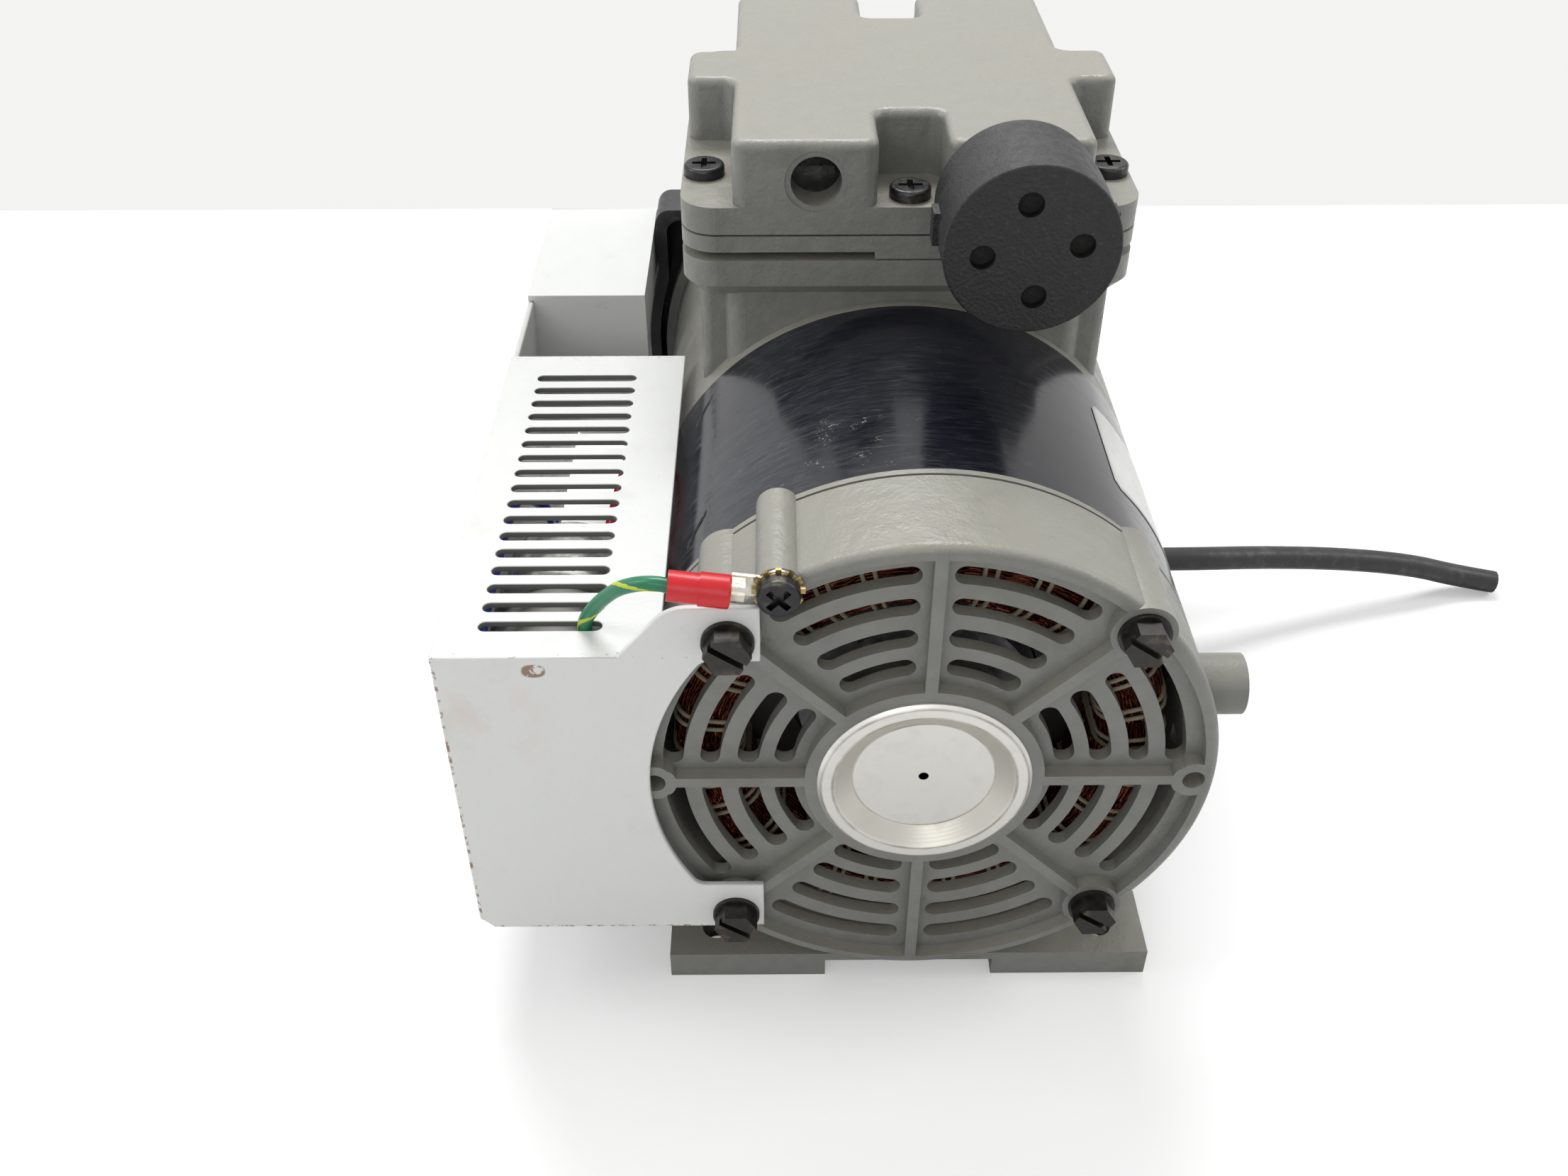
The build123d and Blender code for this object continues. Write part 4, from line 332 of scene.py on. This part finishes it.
def cap_coat():
    """Plated pressing: satin skin, spin rings, a painted reflection on the slope, dirt and painted
    shade in its grooves, painted shade in the hole.
    """
    kit = Kit("pressed_cap")
    radius = kit.off_axis()
    slope_start, slope_end, hole = 14.4, 18.9, 1.0
    dull = kit.step(kit.noise(7.0, 4.0), 0.5, 0.7)
    spots = kit.step(kit.noise(1.4, 4.0, 0.7), 0.66, 0.74)
    # Painted reflection: the dish's slope is tinted darker and browner.
    slope = kit.times(kit.step(radius, slope_start, slope_start + 0.8),
                      kit.step(radius, slope_end - 0.7, slope_end, 1.0, 0.0))
    # Dirt and painted shade darken the grooves at the slope's edges and at the outer rim.
    groove_dirt_and_shade = kit.largest(kit.near(radius, 14.7, 0.35), kit.near(radius, 21.2, 0.4),
                          kit.near(radius, slope_end, 0.5))
    worn = kit.step(kit.noise(9.0, 3.0), 0.35, 0.65, 0.25, 0.75)
    tone = kit.mix(kit.times(dull, 0.25), (0.80, 0.79, 0.75), (0.62, 0.60, 0.55))
    tone = kit.mix(kit.times(spots, 0.35), tone, (0.30, 0.27, 0.22))
    tone = kit.mix(kit.times(slope, 0.55), tone, (0.42, 0.39, 0.33))
    tone = kit.mix(kit.times(groove_dirt_and_shade, worn), tone, (0.22, 0.19, 0.13))
    # Painted shade: the centre hole and its edge are coloured near-black.
    tone = kit.mix(kit.step(radius, hole, hole + 0.12, 1.0, 0.0), tone, (0.004, 0.004, 0.004))
    rough = kit.step(dull, 0.0, 1.0, 0.34, 0.44)
    return kit.done(tone, rough, kit.bump(kit.wave(radius, 0.7), 0.006, 0.5), 0.80)


def plastic(name, color, rough, grain=0.6, depth=0.05, dust=0.15):
    """Moulded plastic, rubber, cord or film with a grain and a little dust."""
    kit = Kit(name)
    powder = kit.step(kit.noise(5.0, 5.0, 0.7), 0.5, 0.75)
    tone = kit.mix(kit.times(powder, dust), color, (0.30, 0.28, 0.26))
    tone = kit.mix(kit.step(kit.noise(9.0), 0.3, 0.7, 0.0, 0.25), tone, scaled(color, 0.6))
    spread = kit.step(kit.noise(3.0), 0.3, 0.7, rough * 0.85, rough * 1.15)
    return kit.done(tone, spread, kit.bump(kit.noise(grain, 2.0), depth, 0.8))


def filter_plastic():
    """Black plastic with a sparked grain and whitish dust in it, most of it on the front."""
    kit = Kit("filter_black")
    front = kit.step(kit.facing(0, -1, 0), 0.6, 0.9)
    grain = kit.noise(0.75, 3.0, 0.6)
    dust = kit.times(kit.step(grain, 0.56, 0.70), kit.step(front, 0.0, 1.0, 0.06, 0.16))
    wear = kit.step(kit.noise(6.0, 5.0, 0.7), 0.58, 0.72, 0.0, 0.12)
    tone = kit.mix(dust, (0.0085, 0.0088, 0.0105), (0.11, 0.11, 0.11))
    tone = kit.mix(wear, tone, (0.05, 0.05, 0.054))
    rough = kit.step(kit.noise(2.5), 0.3, 0.7, 0.42, 0.58)
    return kit.done(tone, rough, kit.bump(grain, 0.30, 0.9))


def copper_wire():
    """Enamelled copper wires round the motor, a little tangled, with dark lines between them."""
    kit = Kit("copper_wires")
    _, y, _ = kit.axes()
    bundle_radius = 44.5
    from_middle = kit.math("ABSOLUTE", kit.math("SUBTRACT", kit.off_axis(), bundle_radius))
    wander = kit.times(kit.noise(7.0, 2.0), 5.0)
    turns = kit.wave(kit.math("ADD", kit.math("ADD", from_middle, y), wander), 1.05)
    tone = kit.mix(kit.step(turns, -0.8, 0.4), (0.030, 0.007, 0.005), (0.30, 0.070, 0.038))
    tone = kit.mix(kit.step(kit.noise(2.2, 3.0), 0.5, 0.75, 0.0, 0.6), tone, (0.42, 0.13, 0.07))
    rough = kit.step(kit.noise(3.0), 0.3, 0.7, 0.22, 0.42)
    return kit.done(tone, rough, kit.bump(turns, 0.45, 1.0), 0.75)


def laminations():
    """Stacked steel sheets seen from the edge, varnished."""
    kit = Kit("laminations")
    _, y, _ = kit.axes()
    sheets = kit.wave(y, 1.0)
    tone = kit.mix(kit.step(sheets, -0.9, 0.0), (0.03, 0.028, 0.026), (0.22, 0.21, 0.20))
    tone = kit.mix(kit.step(kit.noise(4.0, 4.0), 0.5, 0.7, 0.0, 0.5), tone, (0.12, 0.07, 0.04))
    return kit.done(tone, 0.45, kit.bump(sheets, 0.12), 0.8)


def felt():
    """Dark matted fibres."""
    kit = Kit("filter_felt")
    fibres = kit.noise(0.5, 5.0, 0.8, None, 2.0)
    tone = kit.mix(kit.step(fibres, 0.35, 0.65), (0.012, 0.012, 0.012), (0.045, 0.044, 0.042))
    return kit.done(tone, 0.95, kit.bump(fibres, 0.5))


# -------------------------------------------------- looks of the source's pieces
white = white_coat()
looks = {
    cast_paint("cast_paint", (0.190, 0.190, 0.176)):
        ["end_bell", "crankcase", "head_cover", "valve_plate"],
    shell_paint(): ["motor_shell"],
    white: ["bracket", "rear_box"],
    cap_coat(): ["bearing_cap"],
    metal("dull_zinc", (0.60, 0.59, 0.56), 0.34, stained=0.35):
        ["capacitor_clamp", "cover_screws", "clamp_plate", "clamp_washer", "clamp_screw"],
    metal("plain_steel", (0.56, 0.56, 0.56), 0.30, stained=0.2):
        ["motor_shaft", "front_bearing", "rear_bearing", "tail_bearing", "eccentric",
         "counterweight", "rod_bearing", "intake_reed", "exhaust_reed", "reed_keepers"],
    metal("black_oxide", (0.055, 0.053, 0.050), 0.40, (0.17, 0.14, 0.10), 0.7): ["through_bolts"],
    metal("worn_black", (0.050, 0.050, 0.053), 0.38, (0.22, 0.19, 0.14), 0.55):
        ["head_screws", "ground_screw"],
    metal("brassy_plate", (0.42, 0.31, 0.13), 0.34, (0.10, 0.06, 0.03), 0.6): ["star_washer"],
    metal("tinned_copper", (0.66, 0.63, 0.55), 0.28, (0.30, 0.24, 0.14), 0.6): ["ring_terminal"],
    metal("bare_casting", (0.55, 0.55, 0.56), 0.45, depth=0.15): ["connecting_rod", "rotor_cage"],
    plastic("black_plastic", (0.016, 0.016, 0.018), 0.42, 0.8, 0.08, 0.10): ["fan_cover"],
    capacitor_can(): ["run_capacitor"],
    plastic("fan_grey", (0.06, 0.06, 0.062), 0.45): ["cooling_fan"],
    plastic("dark_rubber", (0.018, 0.018, 0.018), 0.55, 0.7, 0.08, 0.25):
        ["diaphragm", "lead_grommet", "cord_gland"],
    plastic("red_insulation", (0.66, 0.012, 0.020), 0.30, 1.5, 0.05, 0.04):
        ["terminal_sleeve", "red_lead"],
    plastic("blue_insulation", (0.02, 0.05, 0.36), 0.34, 1.5, 0.03, 0.05): ["blue_lead"],
    plastic("gasket_black", (0.018, 0.018, 0.018), 0.7, 0.5, 0.1, 0.1): ["head_gasket"],
    filter_plastic(): ["filter_cap", "filter_body"],
    felt(): ["filter_felt"],
    copper_wire(): ["stator_windings"],
    laminations(): ["stator_core", "rotor_core"],
}
for material, names in looks.items():
    for name in names:
        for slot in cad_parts[name].material_slots:
            slot.link = "OBJECT"
            slot.material = material


# -------------------------------------------------- lines
def add_line(data, kind, places):
    """One line of a curve through places in millimetres."""
    line = data.splines.new(kind)
    line.points.add(len(places) - 1)
    for point, (x, y, z) in zip(line.points, places):
        point.co = (x * mm, y * mm, z * mm, 1.0)
    return line


def round_data(name, radius, rounding, material):
    """A curve, still without lines, that makes each of its lines round."""
    data = bpy.data.curves.new(name, "CURVE")
    data.dimensions = "3D"
    data.bevel_depth = radius * mm
    data.bevel_resolution = rounding
    data.materials.append(material)
    return data


def round_curve(name, lines, closed, radius, rounding, material):
    """One piece of round wires along lines given in millimetres."""
    data = round_data(name, radius, rounding, material)
    for places in lines:
        add_line(data, "POLY", places).use_cyclic_u = closed
    piece = linked(name, data)
    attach(piece, "pump_body")
    return piece


# -------------------------------------------------- cord
cord_route = [
    (57.0, 40.3, 26.0), (88.0, 40.3, 26.0), (112.0, 47.6, 21.0), (139.0, 53.3, 16.0),
    (163.0, 56.4, 11.0), (178.0, 58.7, 5.2), (190.5, 57.5, 3.4),
]
cord_look = plastic("cord_rubber", (0.020, 0.020, 0.021), 0.45, 1.2, 0.05, 0.20)
cord_data = round_data("power_cord_line", 3.4, 5, cord_look)
cord_data.use_fill_caps = True
cord_line = add_line(cord_data, "NURBS", cord_route)
cord_line.order_u = 3
cord_line.use_endpoint_u = True
cord_line.resolution_u = 8
cord = linked("power_cord_line", cord_data)
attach(cord, "pump_body")
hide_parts("power_cord")


# -------------------------------------------------- bracket folded from one sheet
def arc(middle, radius, start, end, steps):
    """Points on a circle, angles in degrees."""
    turns = [radians(start + (end - start) * step / steps) for step in range(steps + 1)]
    return [(middle[0] + radius * cos(turn), middle[1] + radius * sin(turn)) for turn in turns]


def sheet_panel(loops, edge, place):
    """Flat panel with rounded edges, its first loop the outline and the others holes."""
    data = bpy.data.curves.new("panel", "CURVE")
    data.dimensions = "2D"
    data.fill_mode = "BOTH"
    data.extrude = (sheet / 2 - edge) * mm
    data.bevel_depth = edge * mm
    data.bevel_resolution = 2
    data.offset = -edge * mm
    for loop in loops:
        add_line(data, "POLY", [(u, v, 0.0) for u, v in loop]).use_cyclic_u = True
    panel = linked("panel", data)
    bpy.context.view_layer.update()
    finished = panel.evaluated_get(bpy.context.evaluated_depsgraph_get())
    mesh = bpy.data.meshes.new_from_object(finished)
    mesh.transform(place)
    bpy.data.objects.remove(panel)
    bpy.data.curves.remove(data)
    return mesh


def end_plate():
    """Outline with two tabs round a circular cut-out, then the tabs' two bolt holes."""
    cutout, corner = 56.0, 3.0
    tab_end, lower_tab, upper_tab, tab_top = -33.2, 35.2, 99.6, 112.7
    shoulder, shoulder_radius = (-46.3, 103.7), 9.0
    deck_end, corner_cut = -60.3, -93.0
    bolt_offset, bolt_hole = 39.3, 3.2
    left, top = bracket_left + tuck, deck_top - tuck

    def tab_corner(tab):
        """Middle of the rounding between a tab and the cut-out, and its angle off the level."""
        height = abs(tab - axis_height) - corner
        reach = sqrt((cutout - corner) ** 2 - height ** 2)
        rise = height if tab > axis_height else -height
        return (-reach, axis_height + rise), degrees(atan2(height, reach))

    low_corner, low_lean = tab_corner(lower_tab)
    high_corner, high_lean = tab_corner(upper_tab)
    points = [(corner_cut, plate_bottom), (tab_end, plate_bottom), (tab_end, lower_tab)]
    points += arc(low_corner, corner, 270.0, 180.0 + low_lean, 6)
    points += arc((0.0, axis_height), cutout, 180.0 + low_lean, 180.0 - high_lean, 48)[1:-1]
    points += arc(high_corner, corner, 180.0 - high_lean, 90.0, 6)
    points += [(tab_end, upper_tab), (tab_end, tab_top)]
    points += arc(shoulder, shoulder_radius, 90.0, 140.0, 8)
    points += [(deck_end, top), (left, top), (left, wall_bottom)]
    holes = [arc((-bolt_offset, axis_height + side * bolt_offset), bolt_hole, 0.0, 350.0, 23)
             for side in (-1, 1)]
    return [points] + holes


def deck_slots():
    """The row of slots with round ends."""
    left, right, width = -88.0, -63.9, 2.9
    first, pitch, count = 7.9, 5.88, 17
    end = width / 2
    loops = []
    for index in range(count):
        middle = bell_face + first + pitch * index
        loops.append(arc((right - end, middle), end, -90.0, 90.0, 10)
                     + arc((left + end, middle), end, 90.0, 270.0, 10))
    return loops


def folded_bracket():
    """Mesh of both end plates, the slotted deck and the side wall."""
    cut_edge, slot_edge = 0.42, 0.25
    left, front, back = bracket_left + tuck, bell_face - sheet + tuck, bracket_back - tuck
    deck_corner, deck_right = -60.4, -52.5
    wall_step, wall_rear_top = 27.0, 99.45
    deck = [(left, front), (deck_corner, front), (deck_corner, bell_face),
            (deck_right, bell_face), (deck_right, deck_back), (left, deck_back)]
    wall = [(front, wall_bottom), (back, wall_bottom), (back, wall_rear_top),
            (wall_step, wall_rear_top), (wall_step, deck_top - tuck), (front, deck_top - tuck)]
    upright = Matrix.Rotation(pi / 2, 4, "X")
    sideways = Matrix(((0, 0, 1, 0), (1, 0, 0, 0), (0, 1, 0, 0), (0, 0, 0, 1)))
    front_place = Matrix.Translation((0, (bell_face - sheet / 2) * mm, 0))
    back_place = Matrix.Translation((0, (bracket_back - sheet / 2) * mm, 0))
    deck_place = Matrix.Translation((0, 0, (deck_top - sheet / 2) * mm))
    wall_place = Matrix.Translation(((bracket_left + sheet / 2) * mm, 0, 0))
    panels = [
        sheet_panel(end_plate(), cut_edge, front_place @ upright),
        sheet_panel(end_plate(), cut_edge, back_place @ upright),
        sheet_panel([deck] + deck_slots(), slot_edge, deck_place),
        sheet_panel([wall], cut_edge, wall_place @ sideways),
    ]
    joined = bmesh.new()
    for panel in panels:
        joined.from_mesh(panel)
        bpy.data.meshes.remove(panel)
    bmesh.ops.remove_doubles(joined, verts=joined.verts, dist=0.01 * mm)
    mesh = bpy.data.meshes.new("bracket_sheet")
    joined.to_mesh(mesh)
    joined.free()
    mesh.materials.append(white)
    return mesh


bracket = linked("bracket_sheet", folded_bracket())
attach(bracket, "pump_body")
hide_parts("bracket")


# -------------------------------------------------- end turns seen through the bell
def bundle_section(grow):
    """Points round the front half of the end turns' cross-section, as (radius, depth)."""
    inner, outer = 38.0 - grow, 51.0 + grow
    front, back = -75.7 - grow, -58.5
    corner, steps = 4.5 + grow, 6
    bends = [pi / 2 * step / steps for step in range(1, steps)]
    section = [(inner, back), (inner, front + corner)]
    section += [(inner + corner * (1 - cos(bend)), front + corner * (1 - sin(bend))) for bend in bends]
    section += [(inner + corner, front), (outer - corner, front)]
    section += [(outer - corner * (1 - sin(bend)), front + corner * (1 - cos(bend))) for bend in bends]
    return section + [(outer, front + corner), (outer, back)]


def along_section(section, pitch):
    """Evenly spaced places along the cross-section."""
    places = []
    left_over = 0.0
    for (r0, y0), (r1, y1) in zip(section, section[1:]):
        length = sqrt((r1 - r0) ** 2 + (y1 - y0) ** 2)
        walked = left_over
        while walked < length:
            share = walked / length
            places.append((r0 + (r1 - r0) * share, y0 + (y1 - y0) * share))
            walked += pitch
        left_over = walked - length
    return places


def winding_turns():
    """Closed wires round the motor's axis, each swaying a little off its circle."""
    pitch, steps = 1.02, 96
    wires = []
    for index, (ring, depth) in enumerate(along_section(bundle_section(0.0), pitch)):
        wire = []
        for step in range(steps):
            turn = 2 * pi * step / steps
            sway = 0.34 * sin(3 * turn + 1.7 * index) + 0.22 * sin(11 * turn + 2.9 * index)
            lift = abs(0.16 * sin(7 * turn + 2.3 * index))
            radius = ring + sway * 0.6
            wire.append((radius * cos(turn), depth - lift + sway * 0.3,
                         axis_height + radius * sin(turn)))
        wires.append(wire)
    return wires


round_curve("end_turn_wires", winding_turns(), True, 0.46, 1, copper_wire())


# -------------------------------------------------- ground wire with its winding stripe
def smooth_path(points, steps):
    """Catmull-Rom line through the points."""
    knots = [Vector(point) for point in points]
    knots = [knots[0] * 2 - knots[1]] + knots + [knots[-1] * 2 - knots[-2]]
    path = []
    for before, here, after, beyond in zip(knots, knots[1:], knots[2:], knots[3:]):
        slope = after - before
        bend = 2 * before - 5 * here + 4 * after - beyond
        twist = 3 * here - before - 3 * after + beyond
        for step in range(steps):
            t = step / steps
            path.append(0.5 * (2 * here + slope * t + bend * t ** 2 + twist * t ** 3))
    return path + [knots[-2]]


def wound_path(path, offset, turn, turn_per_mm):
    """The path moved off its middle by a slowly turning offset."""
    normal = Vector((0.0, 0.0, 1.0))
    moved = []
    for index, place in enumerate(path):
        after = path[min(index + 1, len(path) - 1)]
        along = (after - path[max(index - 1, 0)]).normalized()
        normal = (normal - along * normal.dot(along)).normalized()
        moved.append(place + (normal * cos(turn) + along.cross(normal) * sin(turn)) * offset)
        turn += turn_per_mm * (after - place).length
    return moved


green_look = plastic("green_insulation", (0.010, 0.185, 0.085), 0.34, 1.0, 0.04, 0.06)
yellow_look = plastic("yellow_stripe", (0.50, 0.60, 0.03), 0.34, 1.0, 0.03, 0.06)
wire_route = smooth_path([
    (-48.0, -88.8, 118.7), (-50.6, -88.5, 119.5), (-53.4, -88.0, 119.4), (-56.4, -86.8, 118.1),
    (-59.6, -84.6, 115.2), (-63.2, -81.4, 110.0), (-66.2, -78.7, 104.4), (-67.2, -77.8, 101.4),
    (-67.4, -77.8, 96.0), (-66.6, -77.8, 86.0), (-66.0, -76.8, 66.0), (-66.5, -67.8, 56.0),
    (-68.0, -37.8, 54.0), (-69.0, 4.5, 55.0), (-68.0, 25.5, 57.6), (-62.5, 32.5, 57.6),
    (-56.0, 32.5, 57.6),
], 10)
green_wire = round_curve(
    "ground_wire_green", [wire_route], False, 1.42, 4, green_look)
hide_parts("ground_wire")
stripe_route = wound_path(wire_route, 0.88, 2.4, 0.30)
round_curve("ground_wire_stripe", [stripe_route], False, 0.62, 3, yellow_look)


# -------------------------------------------------- lacing over the end turns
def lacing_pairs():
    """Pairs of cords laid over the end turns, spaced a little unevenly."""
    pairs, pitch = 28, 1.6
    section = along_section(bundle_section(0.75), pitch)
    cords = []
    for index in range(pairs):
        start = 2 * pi * index / pairs + 0.03 * sin(5.0 * index)
        for lean in (-0.022, 0.030):
            places = []
            for step, (ring, depth) in enumerate(section):
                turn = start + lean + 0.055 * sin(index + 1.0) * step / len(section)
                places.append((ring * cos(turn), depth, axis_height + ring * sin(turn)))
            cords.append(places)
    return cords


lacing_look = plastic("lacing_cord", (0.40, 0.36, 0.25), 0.75, 0.5, 0.12, 0.2)
round_curve("lacing_cord", lacing_pairs(), False, 0.50, 1, lacing_look)


# -------------------------------------------------- bare label plate on the shell's right side
def wrapped_plate(name, start, end, front, back, radius, thickness, corner, material):
    """Thin plate bent round the shell: degrees above the horizontal, depths in millimetres."""
    mesh = bmesh.new()
    columns, rows = 40, 16
    layers = []
    for layer in (radius, radius + thickness):
        grid = []
        for column in range(columns + 1):
            angle = (column / columns) * (end - start) + start
            turn = radians(angle)
            from_end = radians(min(abs(angle - start), abs(end - angle))) * radius
            inset = 0.0
            if from_end < corner:
                inset = corner - sqrt(max(0.0, corner ** 2 - (corner - from_end) ** 2))
            line = []
            for row in range(rows + 1):
                depth = front + inset + (back - front - 2 * inset) * row / rows
                place = (layer * cos(turn), depth, axis_height + layer * sin(turn))
                line.append(mesh.verts.new(scaled(place, mm)))
            grid.append(line)
        layers.append(grid)
    inner, outer = layers
    for column in range(columns):
        after = column + 1
        for row in range(rows):
            mesh.faces.new((outer[column][row], outer[after][row],
                            outer[after][row + 1], outer[column][row + 1]))
            mesh.faces.new((inner[column][row + 1], inner[after][row + 1],
                            inner[after][row], inner[column][row]))
        for row, order in ((0, 1), (rows, -1)):
            side = (inner[column][row], inner[after][row], outer[after][row], outer[column][row])
            mesh.faces.new(side[::order])
    for column in (0, columns):
        for row in range(rows):
            mesh.faces.new((inner[column][row], outer[column][row],
                            outer[column][row + 1], inner[column][row + 1]))
    bmesh.ops.recalc_face_normals(mesh, faces=mesh.faces)
    data = bpy.data.meshes.new(name)
    mesh.to_mesh(data)
    mesh.free()
    for face in data.polygons:
        face.use_smooth = True
    data.materials.append(material)
    piece = linked(name, data)
    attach(piece, "pump_body")


label_look = plastic("label_film", (0.74, 0.74, 0.73), 0.32, 2.0, 0.02, 0.12)
wrapped_plate("label_plate", -14.0, 46.2, -42.3, -8.5, 59.95, 0.12, 2.5, label_look)


# -------------------------------------------------- stage and light, in metres
def plane_piece(name, corners, material):
    data = bpy.data.meshes.new(name)
    data.from_pydata(corners, [], [(0, 1, 2, 3)])
    data.materials.append(material)
    piece = linked(name, data)


def stage_material(name, color, glow):
    """Plain matt white with a faint glow that only the camera sees."""
    mat = bpy.data.materials.new(name)
    mat.use_nodes = True
    tree = mat.node_tree
    bsdf = tree.nodes["Principled BSDF"]
    bsdf.inputs["Base Color"].default_value = (*color, 1.0)
    bsdf.inputs["Roughness"].default_value = 0.8
    bsdf.inputs["Emission Color"].default_value = (1.0, 1.0, 1.0, 1.0)
    path = tree.nodes.new("ShaderNodeLightPath")
    scale = tree.nodes.new("ShaderNodeMath")
    scale.operation = "MULTIPLY"
    scale.inputs[1].default_value = glow
    tree.links.new(path.outputs["Is Camera Ray"], scale.inputs[0])
    tree.links.new(scale.outputs[0], bsdf.inputs["Emission Strength"])
    return mat


floor_reach, floor_back = 2.0, 0.341
floor_corners = [
    (-floor_reach, -floor_reach, 0), (floor_reach, -floor_reach, 0),
    (floor_reach, floor_back, 0), (-floor_reach, floor_back, 0),
]
plane_piece("floor", floor_corners, stage_material("floor_white", (0.82, 0.82, 0.82), 0.27))


def area_light(name, place, target, size, power):
    data = bpy.data.lights.new(name, "AREA")
    data.shape = "RECTANGLE"
    data.size, data.size_y = size
    data.energy = power
    lamp = linked(name, data)
    lamp.location = place
    lamp.rotation_euler = (Vector(target) - Vector(place)).to_track_quat("-Z", "Y").to_euler()


area_light("key", (-0.10, 0.62, 1.15), (0, 0, 0.06), (0.8, 0.35), 11.0)
area_light("left", (-1.1, -0.05, 0.85), (0, 0, 0.08), (0.5, 0.8), 5.0)
area_light("right", (1.1, 0.15, 0.85), (0, 0, 0.08), (0.4, 0.8), 4.0)
area_light("fill", (-0.3, -1.15, 0.75), (0, 0, 0.08), (0.9, 0.6), 3.0)


def pale_world(color, as_light, as_seen):
    """Even surround, brighter to the camera and in reflections than as a light."""
    world = bpy.data.worlds.new("studio")
    bpy.context.scene.world = world
    world.use_nodes = True
    tree = world.node_tree
    background = tree.nodes["Background"]
    background.inputs["Color"].default_value = (*color, 1.0)
    path = tree.nodes.new("ShaderNodeLightPath")
    seen = path.outputs["Is Camera Ray"]
    for ray in ("Is Glossy Ray", "Is Transmission Ray"):
        either = tree.nodes.new("ShaderNodeMath")
        either.operation = "MAXIMUM"
        tree.links.new(seen, either.inputs[0])
        tree.links.new(path.outputs[ray], either.inputs[1])
        seen = either.outputs[0]
    strength = tree.nodes.new("ShaderNodeMapRange")
    strength.inputs["To Min"].default_value = as_light
    strength.inputs["To Max"].default_value = as_seen
    tree.links.new(seen, strength.inputs["Value"])
    tree.links.new(strength.outputs["Result"], background.inputs["Strength"])


pale_world((1.0, 1.0, 0.99), 0.45, 0.90)
bpy.context.scene.view_settings.view_transform = "Standard"
